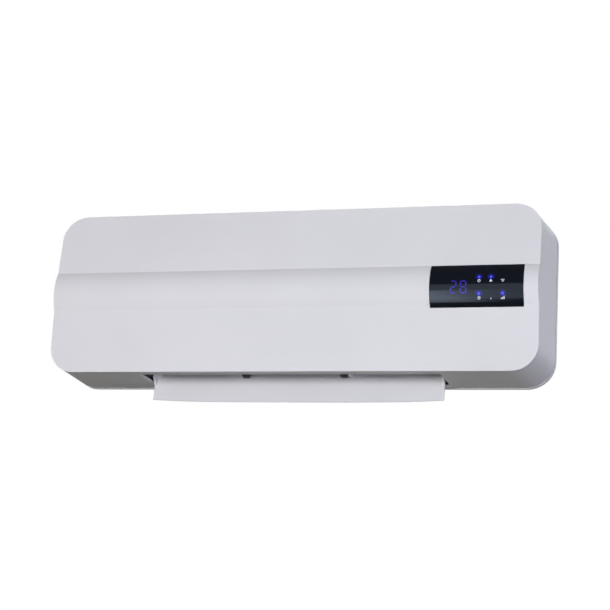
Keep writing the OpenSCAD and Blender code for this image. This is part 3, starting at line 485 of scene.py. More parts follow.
@dataclass(frozen=True)
class Layered(Finish):
    """Stacked sheets, wound turns or cores across one axis, with the pitch in metres."""

    axis: Axis = Axis.X
    pitch: float = 0.0005
    colour: Colour = (0.4, 0.4, 0.42)
    gap: Colour = (0.1, 0.1, 0.1)
    metallic: float = 1.0
    roughness: float = 0.45

    def draw(self, graph: Graph) -> None:
        """Draws a dark groove between the layers and a slow change of tone.

        Args:
            graph: The material's graph.
        """
        run = graph.axes(graph.place())[self.axis.value]
        groove = (abs((run / self.pitch) % 1.0 - 0.5) * 2.0).ramp(0.6, 1.0)
        tone = graph.noise(120.0, detail=3.0)
        warm = graph.mix(tone, shaded(self.colour, 0.8), self.colour)
        graph.surface({
            "Base Color": graph.mix(groove, warm, self.gap),
            "Metallic": self.metallic,
            "Roughness": self.roughness + tone * 0.1,
            "Normal": graph.bump(1.0 - groove, depth=0.00008, strength=0.7),
        })


@dataclass(frozen=True)
class Banded(Finish):
    """Painted body with colour bands that repeat along the heater, in millimetres."""

    colour: Colour = (0.50, 0.38, 0.22)
    start: float = 185.0
    pitch: float = 10.0
    half_band: float = 0.3
    bands: tuple[tuple[float, Colour], ...] = (
        (3.6, (0.22, 0.05, 0.02)), (4.6, (0.01, 0.01, 0.01)),
        (5.6, (0.55, 0.05, 0.02)), (6.7, (0.55, 0.36, 0.08)))

    def draw(self, graph: Graph) -> None:
        """Draws the bands over a lacquered body.

        Args:
            graph: The material's graph.
        """
        x, _, _ = graph.axes(graph.place())
        where = ((x * MM - self.start) / self.pitch) % 1.0 * self.pitch
        lacquer = graph.noise(400.0, detail=2.0)
        colour = graph.mix(lacquer, shaded(self.colour, 0.85), self.colour)
        for middle, band in self.bands:
            colour = graph.mix(abs(where - middle) < self.half_band, colour, band)
        graph.surface({"Base Color": colour, "Roughness": 0.25 + lacquer * 0.1})


@dataclass(frozen=True)
class Striped(Finish):
    """Wire covering with a stripe of another colour, which has a turn for each so many metres."""

    colour: Colour = (0.05, 0.28, 0.04)
    stripe: Colour = (0.75, 0.60, 0.05)
    turn: float = 0.009

    def draw(self, graph: Graph) -> None:
        """Draws the winding stripe over a faintly uneven covering.

        Args:
            graph: The material's graph.
        """
        x, y, z = graph.axes(graph.place())
        winding = ((x + y + z) / self.turn) % 1.0
        striped = winding.ramp(0.52, 0.58) * (1.0 - winding.ramp(0.94, 1.0))
        uneven = graph.noise(300.0, detail=2.0)
        graph.surface({
            "Base Color": graph.mix(striped, self.colour, self.stripe),
            "Roughness": 0.4 + uneven * 0.1,
            "Normal": graph.bump(uneven, depth=0.00003, strength=0.4),
        })


WHITE = Moulded("shell_white_grain", "shell_white", (0.80, 0.80, 0.81), roughness=0.55,
                specular=0.3)
GREY = Moulded("duct_grey_grain", "duct_grey", (0.42, 0.43, 0.45), roughness=0.55)
DARK = Moulded("dark_grain", "dark_plastic", (0.018, 0.018, 0.02), shade=0.8, roughness=0.45)
SATIN = Moulded("satin_black", "dark_plastic", (0.03, 0.03, 0.033), shade=0.85, roughness=0.3)
WOVEN = Woven("filter_weave", "duct_grey")
SMOKED = Smoked("window_smoked", "window_black",
                lamps=((206.8, 96.65), (219.0, 96.65), (206.8, 79.35), (231.2, 79.35)))
ZINC = Metal("zinc_plate", "zinc_steel")
VIOLET = Lit("digit_violet", "lamp_plastic", (0.022, 0.012, 0.26), 0.9)
BLUE = Lit("lamp_blue", "lamp_plastic", (0.045, 0.055, 0.62), 1.0)
# Printed marks glow with painted light: an emission on print, which is no lamp.
MARK_PAINTED_GLOW = Lit("mark_white", "lamp_plastic", (0.75, 0.77, 0.82), 0.55)
# The ducts are made near black, darker than their grey slot: painted shade for the shadowed inside
# of the outlet.
DUCT_PAINTED_SHADE = Moulded("duct_heatproof", "duct_grey", (0.050, 0.053, 0.058), shade=0.85, roughness=0.6,
               specular=0.35)
WHEEL = Moulded("wheel_filled_plastic", "duct_grey", (0.075, 0.078, 0.084), shade=0.8,
                roughness=0.5, grain=1800.0)
CREAM = Moulded("holder_cream", "ceramic_cream", (0.66, 0.62, 0.52), shade=0.9, roughness=0.55)
CERAMIC = Moulded("heater_ceramic", "ceramic_cream", (0.56, 0.53, 0.47), shade=0.78,
                  roughness=0.75, grain=1500.0)
BLOCK_WHITE = Moulded("terminal_ivory", "shell_white", (0.72, 0.71, 0.64), shade=0.93,
                      roughness=0.4)
RELAY = Moulded("relay_case", "relay_blue", (0.022, 0.105, 0.42), shade=0.85, roughness=0.33)
SLEEVE = Moulded("capacitor_sleeve", "relay_blue", (0.012, 0.03, 0.11), shade=0.8, roughness=0.28)
TAPE = Moulded("winding_tape", "brass_parts", (0.72, 0.50, 0.08), shade=0.9, roughness=0.35,
               relief=0.00006)
FERRITE = Moulded("ferrite_core", "stack_steel", (0.055, 0.055, 0.058), shade=0.7, roughness=0.5,
                  grain=900.0)
CHIP = Moulded("chip_body", "dark_plastic", (0.016, 0.016, 0.018), shade=0.8, roughness=0.5,
               grain=3500.0)
RUBBER = Moulded("bearing_rubber_matt", "rubber_black", (0.018, 0.018, 0.018), shade=0.75,
                 roughness=0.8)
MILKY = Moulded("digit_case", "lamp_plastic", (0.52, 0.53, 0.56), shade=0.92, roughness=0.4)
LENS = Moulded("lamp_lens", "lamp_plastic", (0.16, 0.22, 0.80), shade=0.85, roughness=0.18,
               relief=0.00001)
BROWN_WIRE = Moulded("wire_brown", "wire_red", (0.14, 0.045, 0.02), shade=0.85, roughness=0.45)
BLUE_WIRE = Moulded("wire_blue", "wire_red", (0.03, 0.12, 0.45), shade=0.85, roughness=0.45)
EARTH_WIRE = Striped("wire_earth", "wire_red")
CIRCUIT = Circuit("circuit_board", "board_green")
RESISTOR = Banded("resistor_lacquer", "ceramic_cream")
RIBBON = Layered("ribbon_cores", "duct_grey", Axis.X, 0.0012, (0.50, 0.50, 0.52),
                 (0.22, 0.22, 0.24), 0.0, 0.45)
STACK = Layered("stacked_sheets", "stack_steel", Axis.X, 0.0005, (0.30, 0.30, 0.32),
                (0.05, 0.05, 0.05), 1.0, 0.5)
WINDING = Layered("wound_copper", "coil_copper", Axis.Y, 0.00045, (0.72, 0.30, 0.12),
                  (0.20, 0.07, 0.02), 1.0, 0.3)
STEEL = Metal("turned_steel", "zinc_steel",
              (0.55, 0.55, 0.57), roughness=0.25, marks=(900.0, 20.0, 20.0))
TIN = Metal("tinned_leads", "zinc_steel", (0.68, 0.68, 0.66), shade=0.9, roughness=0.3)
BRASS = Metal("bright_brass", "brass_parts", (0.72, 0.52, 0.20), shade=0.85, roughness=0.3)
BRONZE = Metal("sintered_bronze", "brass_parts", (0.48, 0.33, 0.16), shade=0.75, roughness=0.5)
ALUMINIUM = Metal("fin_aluminium_rolled", "fin_aluminium", (0.74, 0.75, 0.77), shade=0.85,
                  roughness=0.32)


class Piece:
    """A mesh object that is shaped with Blender's operators."""

    def __init__(self, obj: bpy.types.Object, name: str) -> None:
        """Keeps a new object with its place applied to its mesh.

        Args:
            obj: The new object.
            name: The piece's name.
        """
        self.obj = obj
        obj.name = name
        self.activate()
        bpy.ops.object.transform_apply(location=True, rotation=True, scale=True)

    @classmethod
    def box(cls, name: str, low: Vector, high: Vector) -> "Piece":
        """Adds a box between two corners.

        Args:
            name: The piece's name.
            low: One corner.
            high: The opposite corner.

        Returns:
            The new piece.
        """
        size = [abs(h - l) for l, h in zip(low, high)]
        bpy.ops.mesh.primitive_cube_add(size=1.0, location=(low + high) / 2.0, scale=size)
        return cls(bpy.context.object, name)

    @classmethod
    def bar(cls, name: str, start: Vector, end: Vector, radius: float, sides: int = 48) -> "Piece":
        """Adds a round bar between two points.

        Args:
            name: The piece's name.
            start: Middle of one end.
            end: Middle of the other end.
            radius: Radius in millimetres.
            sides: Number of sides.

        Returns:
            The new piece.
        """
        run = end - start
        bpy.ops.mesh.primitive_cylinder_add(
            vertices=sides, radius=radius / MM, depth=run.length, location=(start + end) / 2.0,
            rotation=run.to_track_quat("Z", "Y").to_euler())
        return cls(bpy.context.object, name)

    @classmethod
    def sheet(cls, name: str, middle: Vector, width: float, height: float) -> "Piece":
        """Adds a flat rectangle that faces forwards.

        Args:
            name: The piece's name.
            middle: Its middle.
            width: Width in millimetres.
            height: Height in millimetres.

        Returns:
            The flat piece.
        """
        bpy.ops.mesh.primitive_plane_add(size=1.0, location=middle, rotation=UPRIGHT)
        bpy.context.object.scale = (width / MM, height / MM, 1.0)
        return cls(bpy.context.object, name)

    @classmethod
    def patch(cls, middle: Vector, width: float, height: float) -> "Piece":
        """Adds a flat rectangle that faces forwards, divided so that it can bend.

        Args:
            middle: Its middle.
            width: Width in millimetres.
            height: Height in millimetres.

        Returns:
            The flat piece.
        """
        made = cls.sheet("patch", middle, width, height)
        with made.edit("EDGE"):
            bpy.ops.mesh.subdivide(number_cuts=3)
        return made

    @classmethod
    def disc(cls, middle: Vector, radius: float, hole: float = 0.0) -> "Piece":
        """Adds a flat disc or ring that faces forwards.

        Args:
            middle: Its middle.
            radius: Outer radius in millimetres.
            hole: Inner radius, or nothing for a disc.

        Returns:
            The flat piece.
        """
        bpy.ops.mesh.primitive_circle_add(vertices=24, radius=radius / MM, fill_type="NGON",
                                          location=middle, rotation=UPRIGHT)
        made = cls(bpy.context.object, "disc")
        with made.edit("FACE"):
            bpy.ops.mesh.inset(thickness=(radius - max(hole, radius / 2)) / MM)
            if hole:
                bpy.ops.mesh.delete(type="FACE")
        return made

    @classmethod
    def rounded(cls, name: str, half: float, low: float, high: float, radius: float, back: float,
                front: float) -> "Piece":
        """Adds a straight block whose outline has round corners.

        Args:
            name: The piece's name.
            half: Half its width.
            low: Height of its lower side.
            high: Height of its upper side.
            radius: Radius of its corners.
            back: Depth where it starts.
            front: Depth where it ends.

        Returns:
            The new piece.
        """
        made = cls.sheet(name, place(0, front, (low + high) / 2), 2 * half, high - low)
        with made.edit():
            bpy.ops.mesh.bevel(offset=radius / MM, segments=12, affect="VERTICES", profile=0.5)
            bpy.ops.mesh.select_all(action="SELECT")
            run = {"value": span(0, back - front, 0)}
            bpy.ops.mesh.extrude_region_move(TRANSFORM_OT_translate=run)
            bpy.ops.mesh.select_all(action="SELECT")
            bpy.ops.mesh.normals_make_consistent(inside=False)
        return made

    @classmethod
    def copy_of(cls, node: str, name: str) -> "Piece":
        """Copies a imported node's mesh and merges its loose triangles into clean faces.

        Args:
            node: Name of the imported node.
            name: Name of the new piece.

        Returns:
            The new piece.
        """
        obj = bpy.data.objects.new(name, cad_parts[node].data.copy())
        obj.data.materials.clear()
        bpy.context.scene.collection.objects.link(obj)
        made = cls(obj, name)
        with made.edit():
            bpy.ops.mesh.remove_doubles(threshold=2 * MERGED)
            bpy.ops.mesh.dissolve_limited(angle_limit=math.radians(0.5))
        return made

    def activate(self) -> None:
        """Makes the piece the only selected and active object."""
        bpy.ops.object.select_all(action="DESELECT")
        self.obj.select_set(True)
        bpy.context.view_layer.objects.active = self.obj

    @contextmanager
    def edit(self, mode: str = "VERT", test: Test | None = None) -> Iterator[int]:
        """Opens edit mode with everything selected, or only what passes a test.

        Args:
            mode: VERT, EDGE or FACE.
            test: Told a vertex's place, or an edge's middle, its run and the angle between its
                faces in degrees, or a face's middle and normal.

        Yields:
            How many passed the test.
        """
        self.activate()
        bpy.ops.object.mode_set(mode="EDIT")
        bpy.ops.mesh.select_mode(type=mode)
        bpy.ops.mesh.select_all(action="DESELECT" if test else "SELECT")
        yield self._pick(mode, test) if test else 0
        bpy.ops.object.mode_set(mode="OBJECT")

    def _pick(self, mode: str, test: Test) -> int:
        """Selects the vertices, edges or faces that pass a test.

        Args:
            mode: VERT, EDGE or FACE.
            test: The test that is told their measures.

        Returns:
            How many passed.
        """
        mesh = bmesh.from_edit_mesh(self.obj.data)
        items, measures = {
            "VERT": (mesh.verts, lambda vert: (vert.co,)),
            "EDGE": (mesh.edges, self._edge_measures),
            "FACE": (mesh.faces, lambda face: (face.calc_center_median(), face.normal)),
        }[mode]
        picked = [item for item in items if test(*measures(item))]
        for item in picked:
            item.select_set(True)
        if mode == "VERT":
            mesh.select_flush_mode()
        bmesh.update_edit_mesh(self.obj.data)
        return len(picked)

    @staticmethod
    def _edge_measures(edge: bmesh.types.BMEdge) -> tuple[Vector, Vector, float]:
        """Gives an edge's middle, its run and the angle between its faces in degrees."""
        first, second = (vert.co for vert in edge.verts)
        return (first + second) / 2.0, second - first, math.degrees(edge.calc_face_angle(0.0))

    def bevel_edges(self, test: Test, width: float, segments: int = 3) -> "Piece":
        """Rounds the edges that pass a test.

        Args:
            test: Told an edge's middle, run and angle in degrees.
            width: Width in millimetres.
            segments: Number of strips in the round.

        Returns:
            The piece itself.
        """
        with self.edit("EDGE", test) as count:
            if count:
                bpy.ops.mesh.bevel(offset=width / MM, segments=segments, profile=0.5,
                                   affect="EDGES", clamp_overlap=True)
        return self

    def extrude(self, test: Test, move: Vector) -> "Piece":
        """Extrudes the faces that pass a test.

        Args:
            test: Told a face's middle and normal.
            move: How far they go, in metres.

        Returns:
            The piece itself.
        """
        with self.edit("FACE", test):
            bpy.ops.mesh.extrude_region_move(TRANSFORM_OT_translate={"value": move})
        return self

    def shift(self, test: Test, move: Vector) -> "Piece":
        """Moves the vertices that pass a test.

        Args:
            test: Told a vertex's place.
            move: How far they go, in metres.

        Returns:
            The piece itself.
        """
        with self.edit("VERT", test):
            bpy.ops.transform.translate(value=move)
        return self

    def trim(self, point: Vector, normal: Sequence[float]) -> "Piece":
        """Cuts off what lies beyond a plane and closes the cut.

        Args:
            point: A point on the plane.
            normal: Normal towards the side that goes.

        Returns:
            The piece itself.
        """
        with self.edit():
            bpy.ops.mesh.bisect(plane_co=point, plane_no=Vector(normal).normalized(),
                                use_fill=True, clear_outer=True, threshold=MERGED / 10)
        return self

    def turn(self, degrees: float, axis: Axis, centre: Vector) -> "Piece":
        """Turns the whole mesh about an axis by the right-hand rule.

        Args:
            degrees: Angle of the turn.
            axis: Axis of the turn.
            centre: Point that stays.

        Returns:
            The piece itself.
        """
        with self.edit():
            bpy.ops.transform.rotate(value=-math.radians(degrees), orient_axis=axis.name,
                                     orient_type="GLOBAL", center_override=centre)
        return self

    def modify(self, kind: str, **settings: object) -> "Piece":
        """Adds a modifier and applies it.

        Args:
            kind: Blender's type name of the modifier.
            **settings: Properties of the modifier.

        Returns:
            The piece itself.
        """
        modifier = self.obj.modifiers.new(kind.title(), kind)
        for name, setting in settings.items():
            setattr(modifier, name, setting)
        self.activate()
        bpy.ops.object.modifier_apply(modifier=modifier.name)
        return self

    def _boolean(self, operation: str, other: "Piece") -> "Piece":
        """Combines the piece with another, which is used up.

        Args:
            operation: Blender's name of the operation.
            other: The other piece.

        Returns:
            The piece itself.
        """
        self.modify("BOOLEAN", operation=operation, object=other.obj, solver="EXACT")
        bpy.data.objects.remove(other.obj)
        return self

    def cut(self, *others: "Piece") -> "Piece":
        """Cuts other pieces out of this one.

        Args:
            *others: The pieces, which are used up.

        Returns:
            The piece itself.
        """
        for other in others:
            self._boolean("DIFFERENCE", other)
        return self

    def add(self, *others: "Piece") -> "Piece":
        """Fuses other pieces to this one.

        Args:
            *others: The pieces, which are used up.

        Returns:
            The piece itself.
        """
        for other in others:
            self._boolean("UNION", other)
        return self

    def keep(self, other: "Piece") -> "Piece":
        """Keeps only what this piece shares with another."""
        return self._boolean("INTERSECT", other)

    def join(self, *others: "Piece") -> "Piece":
        """Takes other pieces in as loose parts of this one.

        Args:
            *others: The pieces, which are used up.

        Returns:
            The piece itself.
        """
        self.activate()
        for other in others:
            other.obj.select_set(True)
        bpy.ops.object.join()
        return self

    def lay_on(self, target: "Piece", axis: Axis) -> "Piece":
        """Lays flat marks on another piece and gives them a little body.

        Args:
            target: The piece that carries them.
            axis: The axis that they are pressed along.

        Returns:
            The piece itself.
        """
        pressed = {f"use_project_{axis.name.lower()}": True}
        self.modify("SHRINKWRAP", target=target.obj, wrap_method="PROJECT", offset=PRINT_GAP,
                    use_positive_direction=True, use_negative_direction=True, **pressed)
        return self.modify("SOLIDIFY", thickness=PRINT_BODY, offset=-1.0)

    def repeat(self, count: int, step: Vector) -> "Piece":
        """Repeats the piece in a row."""
        return self.modify("ARRAY", count=count, use_relative_offset=False,
                           use_constant_offset=True, constant_offset_displace=step)

    def twin(self, offset: Vector) -> "Piece":
        """Copies the piece with its own mesh to a place moved by an offset.

        Args:
            offset: How far the copy is moved, in metres.

        Returns:
            The copy.
        """
        obj = self.obj.copy()
        obj.data = self.obj.data.copy()
        bpy.context.scene.collection.objects.link(obj)
        obj.location = offset
        return Piece(obj, self.obj.name + "_twin")

    def ease(self, width: float, segments: int = 2, angle: float = 40.0) -> "Piece":
        """Rounds every edge sharper than an angle.

        Args:
            width: Width in millimetres.
            segments: Number of strips in the round.
            angle: The angle in degrees.

        Returns:
            The piece itself.
        """
        return self.modify("BEVEL", width=width / MM, segments=segments,
                           limit_method="ANGLE", angle_limit=math.radians(angle),
                           use_clamp_overlap=True)

    def mend(self) -> "Piece":
        """Merges doubled vertices, drops flat faces and turns every face outwards.

        Returns:
            The piece itself.
        """
        with self.edit():
            bpy.ops.mesh.remove_doubles(threshold=MERGED)
            bpy.ops.mesh.dissolve_degenerate(threshold=MERGED)
            bpy.ops.mesh.select_all(action="SELECT")
            bpy.ops.mesh.normals_make_consistent(inside=False)
        return self

    def finish(self, finish: Finish, body: Body, *nodes: str, smooth: float = 35.0) -> "Piece":
        """Gives the piece its finish and its place in the model.

        Args:
            finish: The finish of its surface.
            body: The body that it rides on.
            *nodes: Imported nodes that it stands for.
            smooth: Greatest angle between faces that is shaded smooth, in degrees.

        Returns:
            The piece itself.
        """
        self.mend()
        bpy.ops.object.shade_smooth_by_angle(angle=math.radians(smooth))
        self.modify("WEIGHTED_NORMAL", keep_sharp=True, weight=80)
        self.obj.data.materials.clear()
        self.obj.data.materials.append(finish.material())
        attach(self.obj, body.value)
        if nodes:
            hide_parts(*nodes)
        log.info("%s: %d faces, %s", self.obj.name, len(self.obj.data.polygons), finish.name)
        return self


def dress(finish: Finish, *nodes: str) -> None:
    """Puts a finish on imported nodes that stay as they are.

    Args:
        finish: The finish.
        *nodes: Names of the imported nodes.
    """
    for node in nodes:
        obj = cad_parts[node]
        obj.data.materials.clear()
        obj.data.materials.append(finish.material())
        log.info("%s keeps its shape, %s", node, finish.name)


@dataclass
class Casing:
    """Front shell and rear chassis with the swelling band."""

    width: float = 550.0
    height: float = 186.0
    depth: float = 89.5
    taper: float = 7.2
    corner_wall: float = 30.0
    corner_front: float = 28.0
    top_lean: float = 6.5
    foot_lean: float = 2.5
    wall: float = 2.5
    seam: float = 0.3
    step: float = 0.65
    step_run: float = 8.0
    rim: float = 5.5
    rim_width: float = 3.0
    recess: float = 3.0
    band_z: float = 69.0
    band_h: float = 42.5
    band_bulge: float = 7.0
    edge: float = 1.3
    window_x: Pair = (155.3, 252.3)
    window_foot: float = 2.9
    outlet_x: float = 166.0
    outlet_depths: Pair = (14.0, 74.0)
    grille_half: float = 164.0
    grille_depths: Pair = (18.0, 74.0)
    gland: Pair = (24.0, 40.0)
    switch: Pair = (44.0, 92.0)
    lip_h: float = 8.0
    lip_t: float = 2.0
    lip_gap: float = 169.5
    hanger_x: float = 100.0
    hanger_half: float = 13.0
    hanger_heights: Pair = (147.0, 161.0)
    board_post: Triple = (9.0, 3.0, 1.25)
    foot_boss: Pair = (4.0, 1.55)
    screw_pass: float = 1.7
    pocket_deep: float = 2.8
    gland_hole: float = 6.3
    switch_hole: Pair = (10.0, 7.0)

    @property
    def band_radius(self) -> float:
        """Radius of the swelling band."""
        return (self.band_h ** 2 / 4 + self.band_bulge ** 2) / (2 * self.band_bulge)

    @property
    def band_axis(self) -> float:
        """Depth of the band's axis."""
        return self.depth + self.band_bulge - self.band_radius

    @property
    def band_mid(self) -> float:
        """Height of the band's middle."""
        return self.band_z + self.band_h / 2

    @property
    def band_top(self) -> float:
        """Height of the band's upper crease."""
        return self.band_z + self.band_h

    @property
    def draft(self) -> float:
        """Draft of the sides and the top in degrees."""
        return math.degrees(math.atan(self.taper / self.depth))

    def draw_in(self, depth: float) -> float:
        """How far the sides and the top have drawn in at a depth."""
        return self.taper * depth / self.depth

    def prism(self, name: str, back: float, front: float, inset: float) -> Piece:
        """Models the drafted casing between two depths by bridging two rounded outlines.

        Args:
            name: The piece's name.
            back: Depth where it starts.
            front: Depth where it ends.
            inset: How far it lies inside the casing's surface.

        Returns:
            The solid.
        """
        outlines = [self._outline(name, d, inset) for d in (back, front)]
        made = outlines[0].join(outlines[1])
        with made.edit("EDGE"):
            bpy.ops.mesh.bridge_edge_loops()
            bpy.ops.mesh.select_all(action="SELECT")
            bpy.ops.mesh.normals_make_consistent(inside=False)
        return made

    def _outline(self, name: str, depth: float, inset: float) -> Piece:
        """Models the flat rounded outline of the casing at a depth.

        Args:
            name: The piece's name.
            depth: Depth of the outline.
            inset: How far it lies inside the casing's surface.

        Returns:
            The flat piece.
        """
        half = self.width / 2 - self.draw_in(depth) - inset
        top = self.height - self.draw_in(depth) - inset
        slack = self.corner_wall - self.corner_front
        radius = self.corner_wall - slack * depth / self.depth - inset
        made = Piece.sheet(name, place(0, depth, (top + inset) / 2), 2 * half, top - inset)
        with made.edit():
            bpy.ops.mesh.bevel(offset=radius / MM, segments=16, affect="VERTICES", profile=0.5)
        return made

    def front_form(self, name: str, inset: float) -> Piece:
        """Models the side profile along the whole width, with leaning panels and the band.

        Args:
            name: The piece's name.
            inset: How far it lies inside the casing's surface.

        Returns:
            The long solid, wider than the casing.
        """
        reach = self.width / 2 + HIDDEN_ROOM
        face = self.depth - inset
        made = Piece.box(name, place(-reach, -HIDDEN_ROOM, -HIDDEN_ROOM),
                         place(reach, face, self.height + HIDDEN_ROOM))
        front_top = self.height - self.taper
        made.trim(place(0, face, self.band_z), (0, -self.band_z, -self.foot_lean))
        made.trim(place(0, face, self.band_top), (0, -(front_top - self.band_top), self.top_lean))
        return made.add(self.round_band(name + "_band", -reach - 5, reach + 5, inset))

    def round_band(self, name: str, left: float, right: float, inset: float) -> Piece:
        """Models the round bar that the band and its window are parts of."""
        start, end = (place(x, self.band_axis, self.band_mid) for x in (left, right))
        return Piece.bar(name, start, end, self.band_radius - inset, 256)

    def solid(self, name: str, back: float, inset: float) -> Piece:
        """Models the casing as a solid block."""
        front = self.depth + self.band_bulge + HIDDEN_ROOM
        return self.prism(name, back, front, inset).keep(self.front_form(name + "_form", inset))

    def on_top(self, piece: Piece) -> Piece:
        """Leans a piece that was modelled on a level top onto the sloping top."""
        return piece.turn(self.draft, Axis.X, place(0, 0, self.height))

    def on_left(self, name: str, low: Vector, high: Vector, depth: float, height: float) -> Piece:
        """Models a box on the left wall.

        Args:
            name: The piece's name.
            low: Least corner: out of the wall, forwards along it and up, in millimetres.
            high: Opposite corner.
            depth: Depth of its middle.
            height: Height of its middle.

        Returns:
            The piece.
        """
        x = self.draw_in(depth) - self.width / 2
        made = Piece.box(name, place(x - low[0], depth + low[1], height + low[2]),
                         place(x - high[0], depth + high[1], height + high[2]))
        return made.turn(self.draft, Axis.Z, place(x, depth, height))

    def shell(self) -> Piece:
        """Models the front shell as a hollow moulding with its openings.

        Returns:
            The shell.
        """
        shell = self.solid("front_shell_skin", self.rim + self.seam, 0.0)
        self._step_in(shell)
        front = place(0, 60, 0).y
        shell.bevel_edges(lambda m, run, angle: angle > 50 and m.y < front,
                          width=self.edge, segments=4)
        shell.bevel_edges(lambda m, run, angle: 25 < angle < 50 and abs(run.x) > 0.3,
                          width=0.5, segments=2)
        shell.cut(self.solid("front_shell_core", -5.0, self.wall))
        shell.cut(self._window_pocket(), self._outlet(), self._intake())
        gland = Vector((10, self.gland_hole, self.gland_hole))
        switch = Vector((10, *self.switch_hole))
        shell.cut(self.on_left("gland_hole", -gland, gland, *self.gland),
                  self.on_left("switch_hole", -switch, switch, *self.switch))
        return shell.finish(WHITE, Body.CASING, "front_shell")

    def _step_in(self, shell: Piece) -> None:
        """Draws the shell's rear edge in, so that the chassis rim stands a little proud of it.

        Args:
            shell: The shell while it is still solid.
        """
        back = self.rim + self.seam
        with shell.edit("FACE"):
            bpy.ops.mesh.bisect(plane_co=place(0, back + self.step_run, 0), plane_no=(0, 1, 0))
        across, up = (1 - 2 * self.step / size for size in (self.width, self.height))
        edge = place(0, back + 0.1, 0).y
        with shell.edit("VERT", lambda v: v.y > edge):
            bpy.ops.transform.resize(value=(across, 1.0, up),
                                     center_override=place(0, back, self.height / 2))

    def _window_pocket(self) -> Piece:
        """Models the cutter for the display window's pocket.

        Returns:
            The cutter.
        """
        low, high = self.window_x
        foot, floor = self.band_z - self.window_foot, self.depth - self.pocket_deep
        return Piece.box("window_pocket", place(low - self.seam, floor, foot),
                         place(high + self.seam, self.depth + HIDDEN_ROOM, self.band_top))

    def _outlet(self) -> Piece:
        """Models the cutter for the air outlet with slightly rounded corners.

        Returns:
            The cutter.
        """
        back, front = self.outlet_depths
        cutter = Piece.box("outlet_cutter", place(-self.outlet_x, back, -5),
                           place(self.outlet_x, front, 5))
        return cutter.bevel_edges(along(Axis.Z, 5), width=1.5, segments=4)

    def _intake(self) -> Piece:
        """Models the cutter for the intake in the sloping top.

        Returns:
            The cutter.
        """
        back, front = self.grille_depths
        half = self.grille_half + self.seam
        cutter = Piece.box("intake_cutter", place(-half, back - self.seam, self.height - 5),
                           place(half, front + self.seam, self.height + 5))
        return self.on_top(cutter)

    def chassis(self) -> Piece:
        """Models the rear chassis with its rim, lip, hanger slots and posts.

        Returns:
            The chassis.
        """
        made = self.prism("rear_chassis_skin", 0.0, self.rim, 0.0)
        front = place(0, self.rim, 0).y
        made.bevel_edges(lambda m, run, angle: angle > 50 and m.y > front / 2,
                         width=0.6, segments=3)
        made.cut(self.prism("chassis_recess", -5.0, self.recess, self.rim_width))
        made.add(self._lip())
        low, high = self.hanger_heights
        for x in (-self.hanger_x, self.hanger_x):
            slot = Piece.box("hanger_slot", place(x - self.hanger_half, self.recess - 2, low),
                             place(x + self.hanger_half, self.rim + 2, high))
            made.cut(slot.bevel_edges(along(Axis.Y, 3), width=1.0, segments=3))
        length, radius, bore = self.board_post
        for x, z in BOARD_SCREWS:
            made.add(self._stud("board_post", x, z, self.rim - 1, self.rim + length, radius, 32))
            made.cut(self._stud("post_bore", x, z, self.rim - 0.1, self.rim + 12, bore))
        radius, bore = self.foot_boss
        for x, z in DUCT_SCREWS:
            made.add(self._stud("foot_boss", x, z, 0.4, self.recess + 0.5, radius, 32))
            made.cut(self._stud("foot_bore", x, z, -2, self.rim + 2, bore))
        for x, z in CASE_SCREWS:
            made.cut(self._stud("screw_pass", x, z, -2, self.rim + 2, self.screw_pass))
        return made.finish(WHITE, Body.CASING, "rear_chassis")

    def _stud(self, name: str, x: float, z: float, back: float, front: float, radius: float,
              sides: int = 24) -> Piece:
        """Models a round stud or bore that stands out from the wall."""
        return Piece.bar(name, place(x, back, z), place(x, front, z), radius, sides)

    def _lip(self) -> Piece:
        """Models the lip that the shell slides over, with its gap over the outlet.

        Returns:
            The lip.
        """
        back, front = self.rim - 1.0, self.rim + self.lip_h
        made = self._lip_block("chassis_lip", 0.0, back, front)
        made.cut(self._lip_block("chassis_lip_core", self.lip_t, back - 1.0, front + 2.0))
        made.cut(Piece.box("lip_gap", place(-self.lip_gap, 0, -5), place(self.lip_gap, 20, 8)))
        root = place(0, self.rim + 4, 0).y
        return made.bevel_edges(lambda m, run, angle: angle > 50 and m.y < root,
                                width=0.4, segments=2)

    def _lip_block(self, name: str, inset: float, back: float, front: float) -> Piece:
        """Models a straight rounded block that fits inside the front shell.

        Args:
            name: The piece's name.
            inset: How far it lies inside the lip's outer face.
            back: Depth where it starts.
            front: Depth where it ends.

        Returns:
            The block.
        """
        room = self.wall + self.seam + inset
        narrow = self.draw_in(self.rim + self.lip_h)
        half = self.width / 2 - narrow - room
        return Piece.rounded(name, half, room, self.height - narrow - room,
                             self.corner_wall - self.wall - self.seam - inset, back, front)


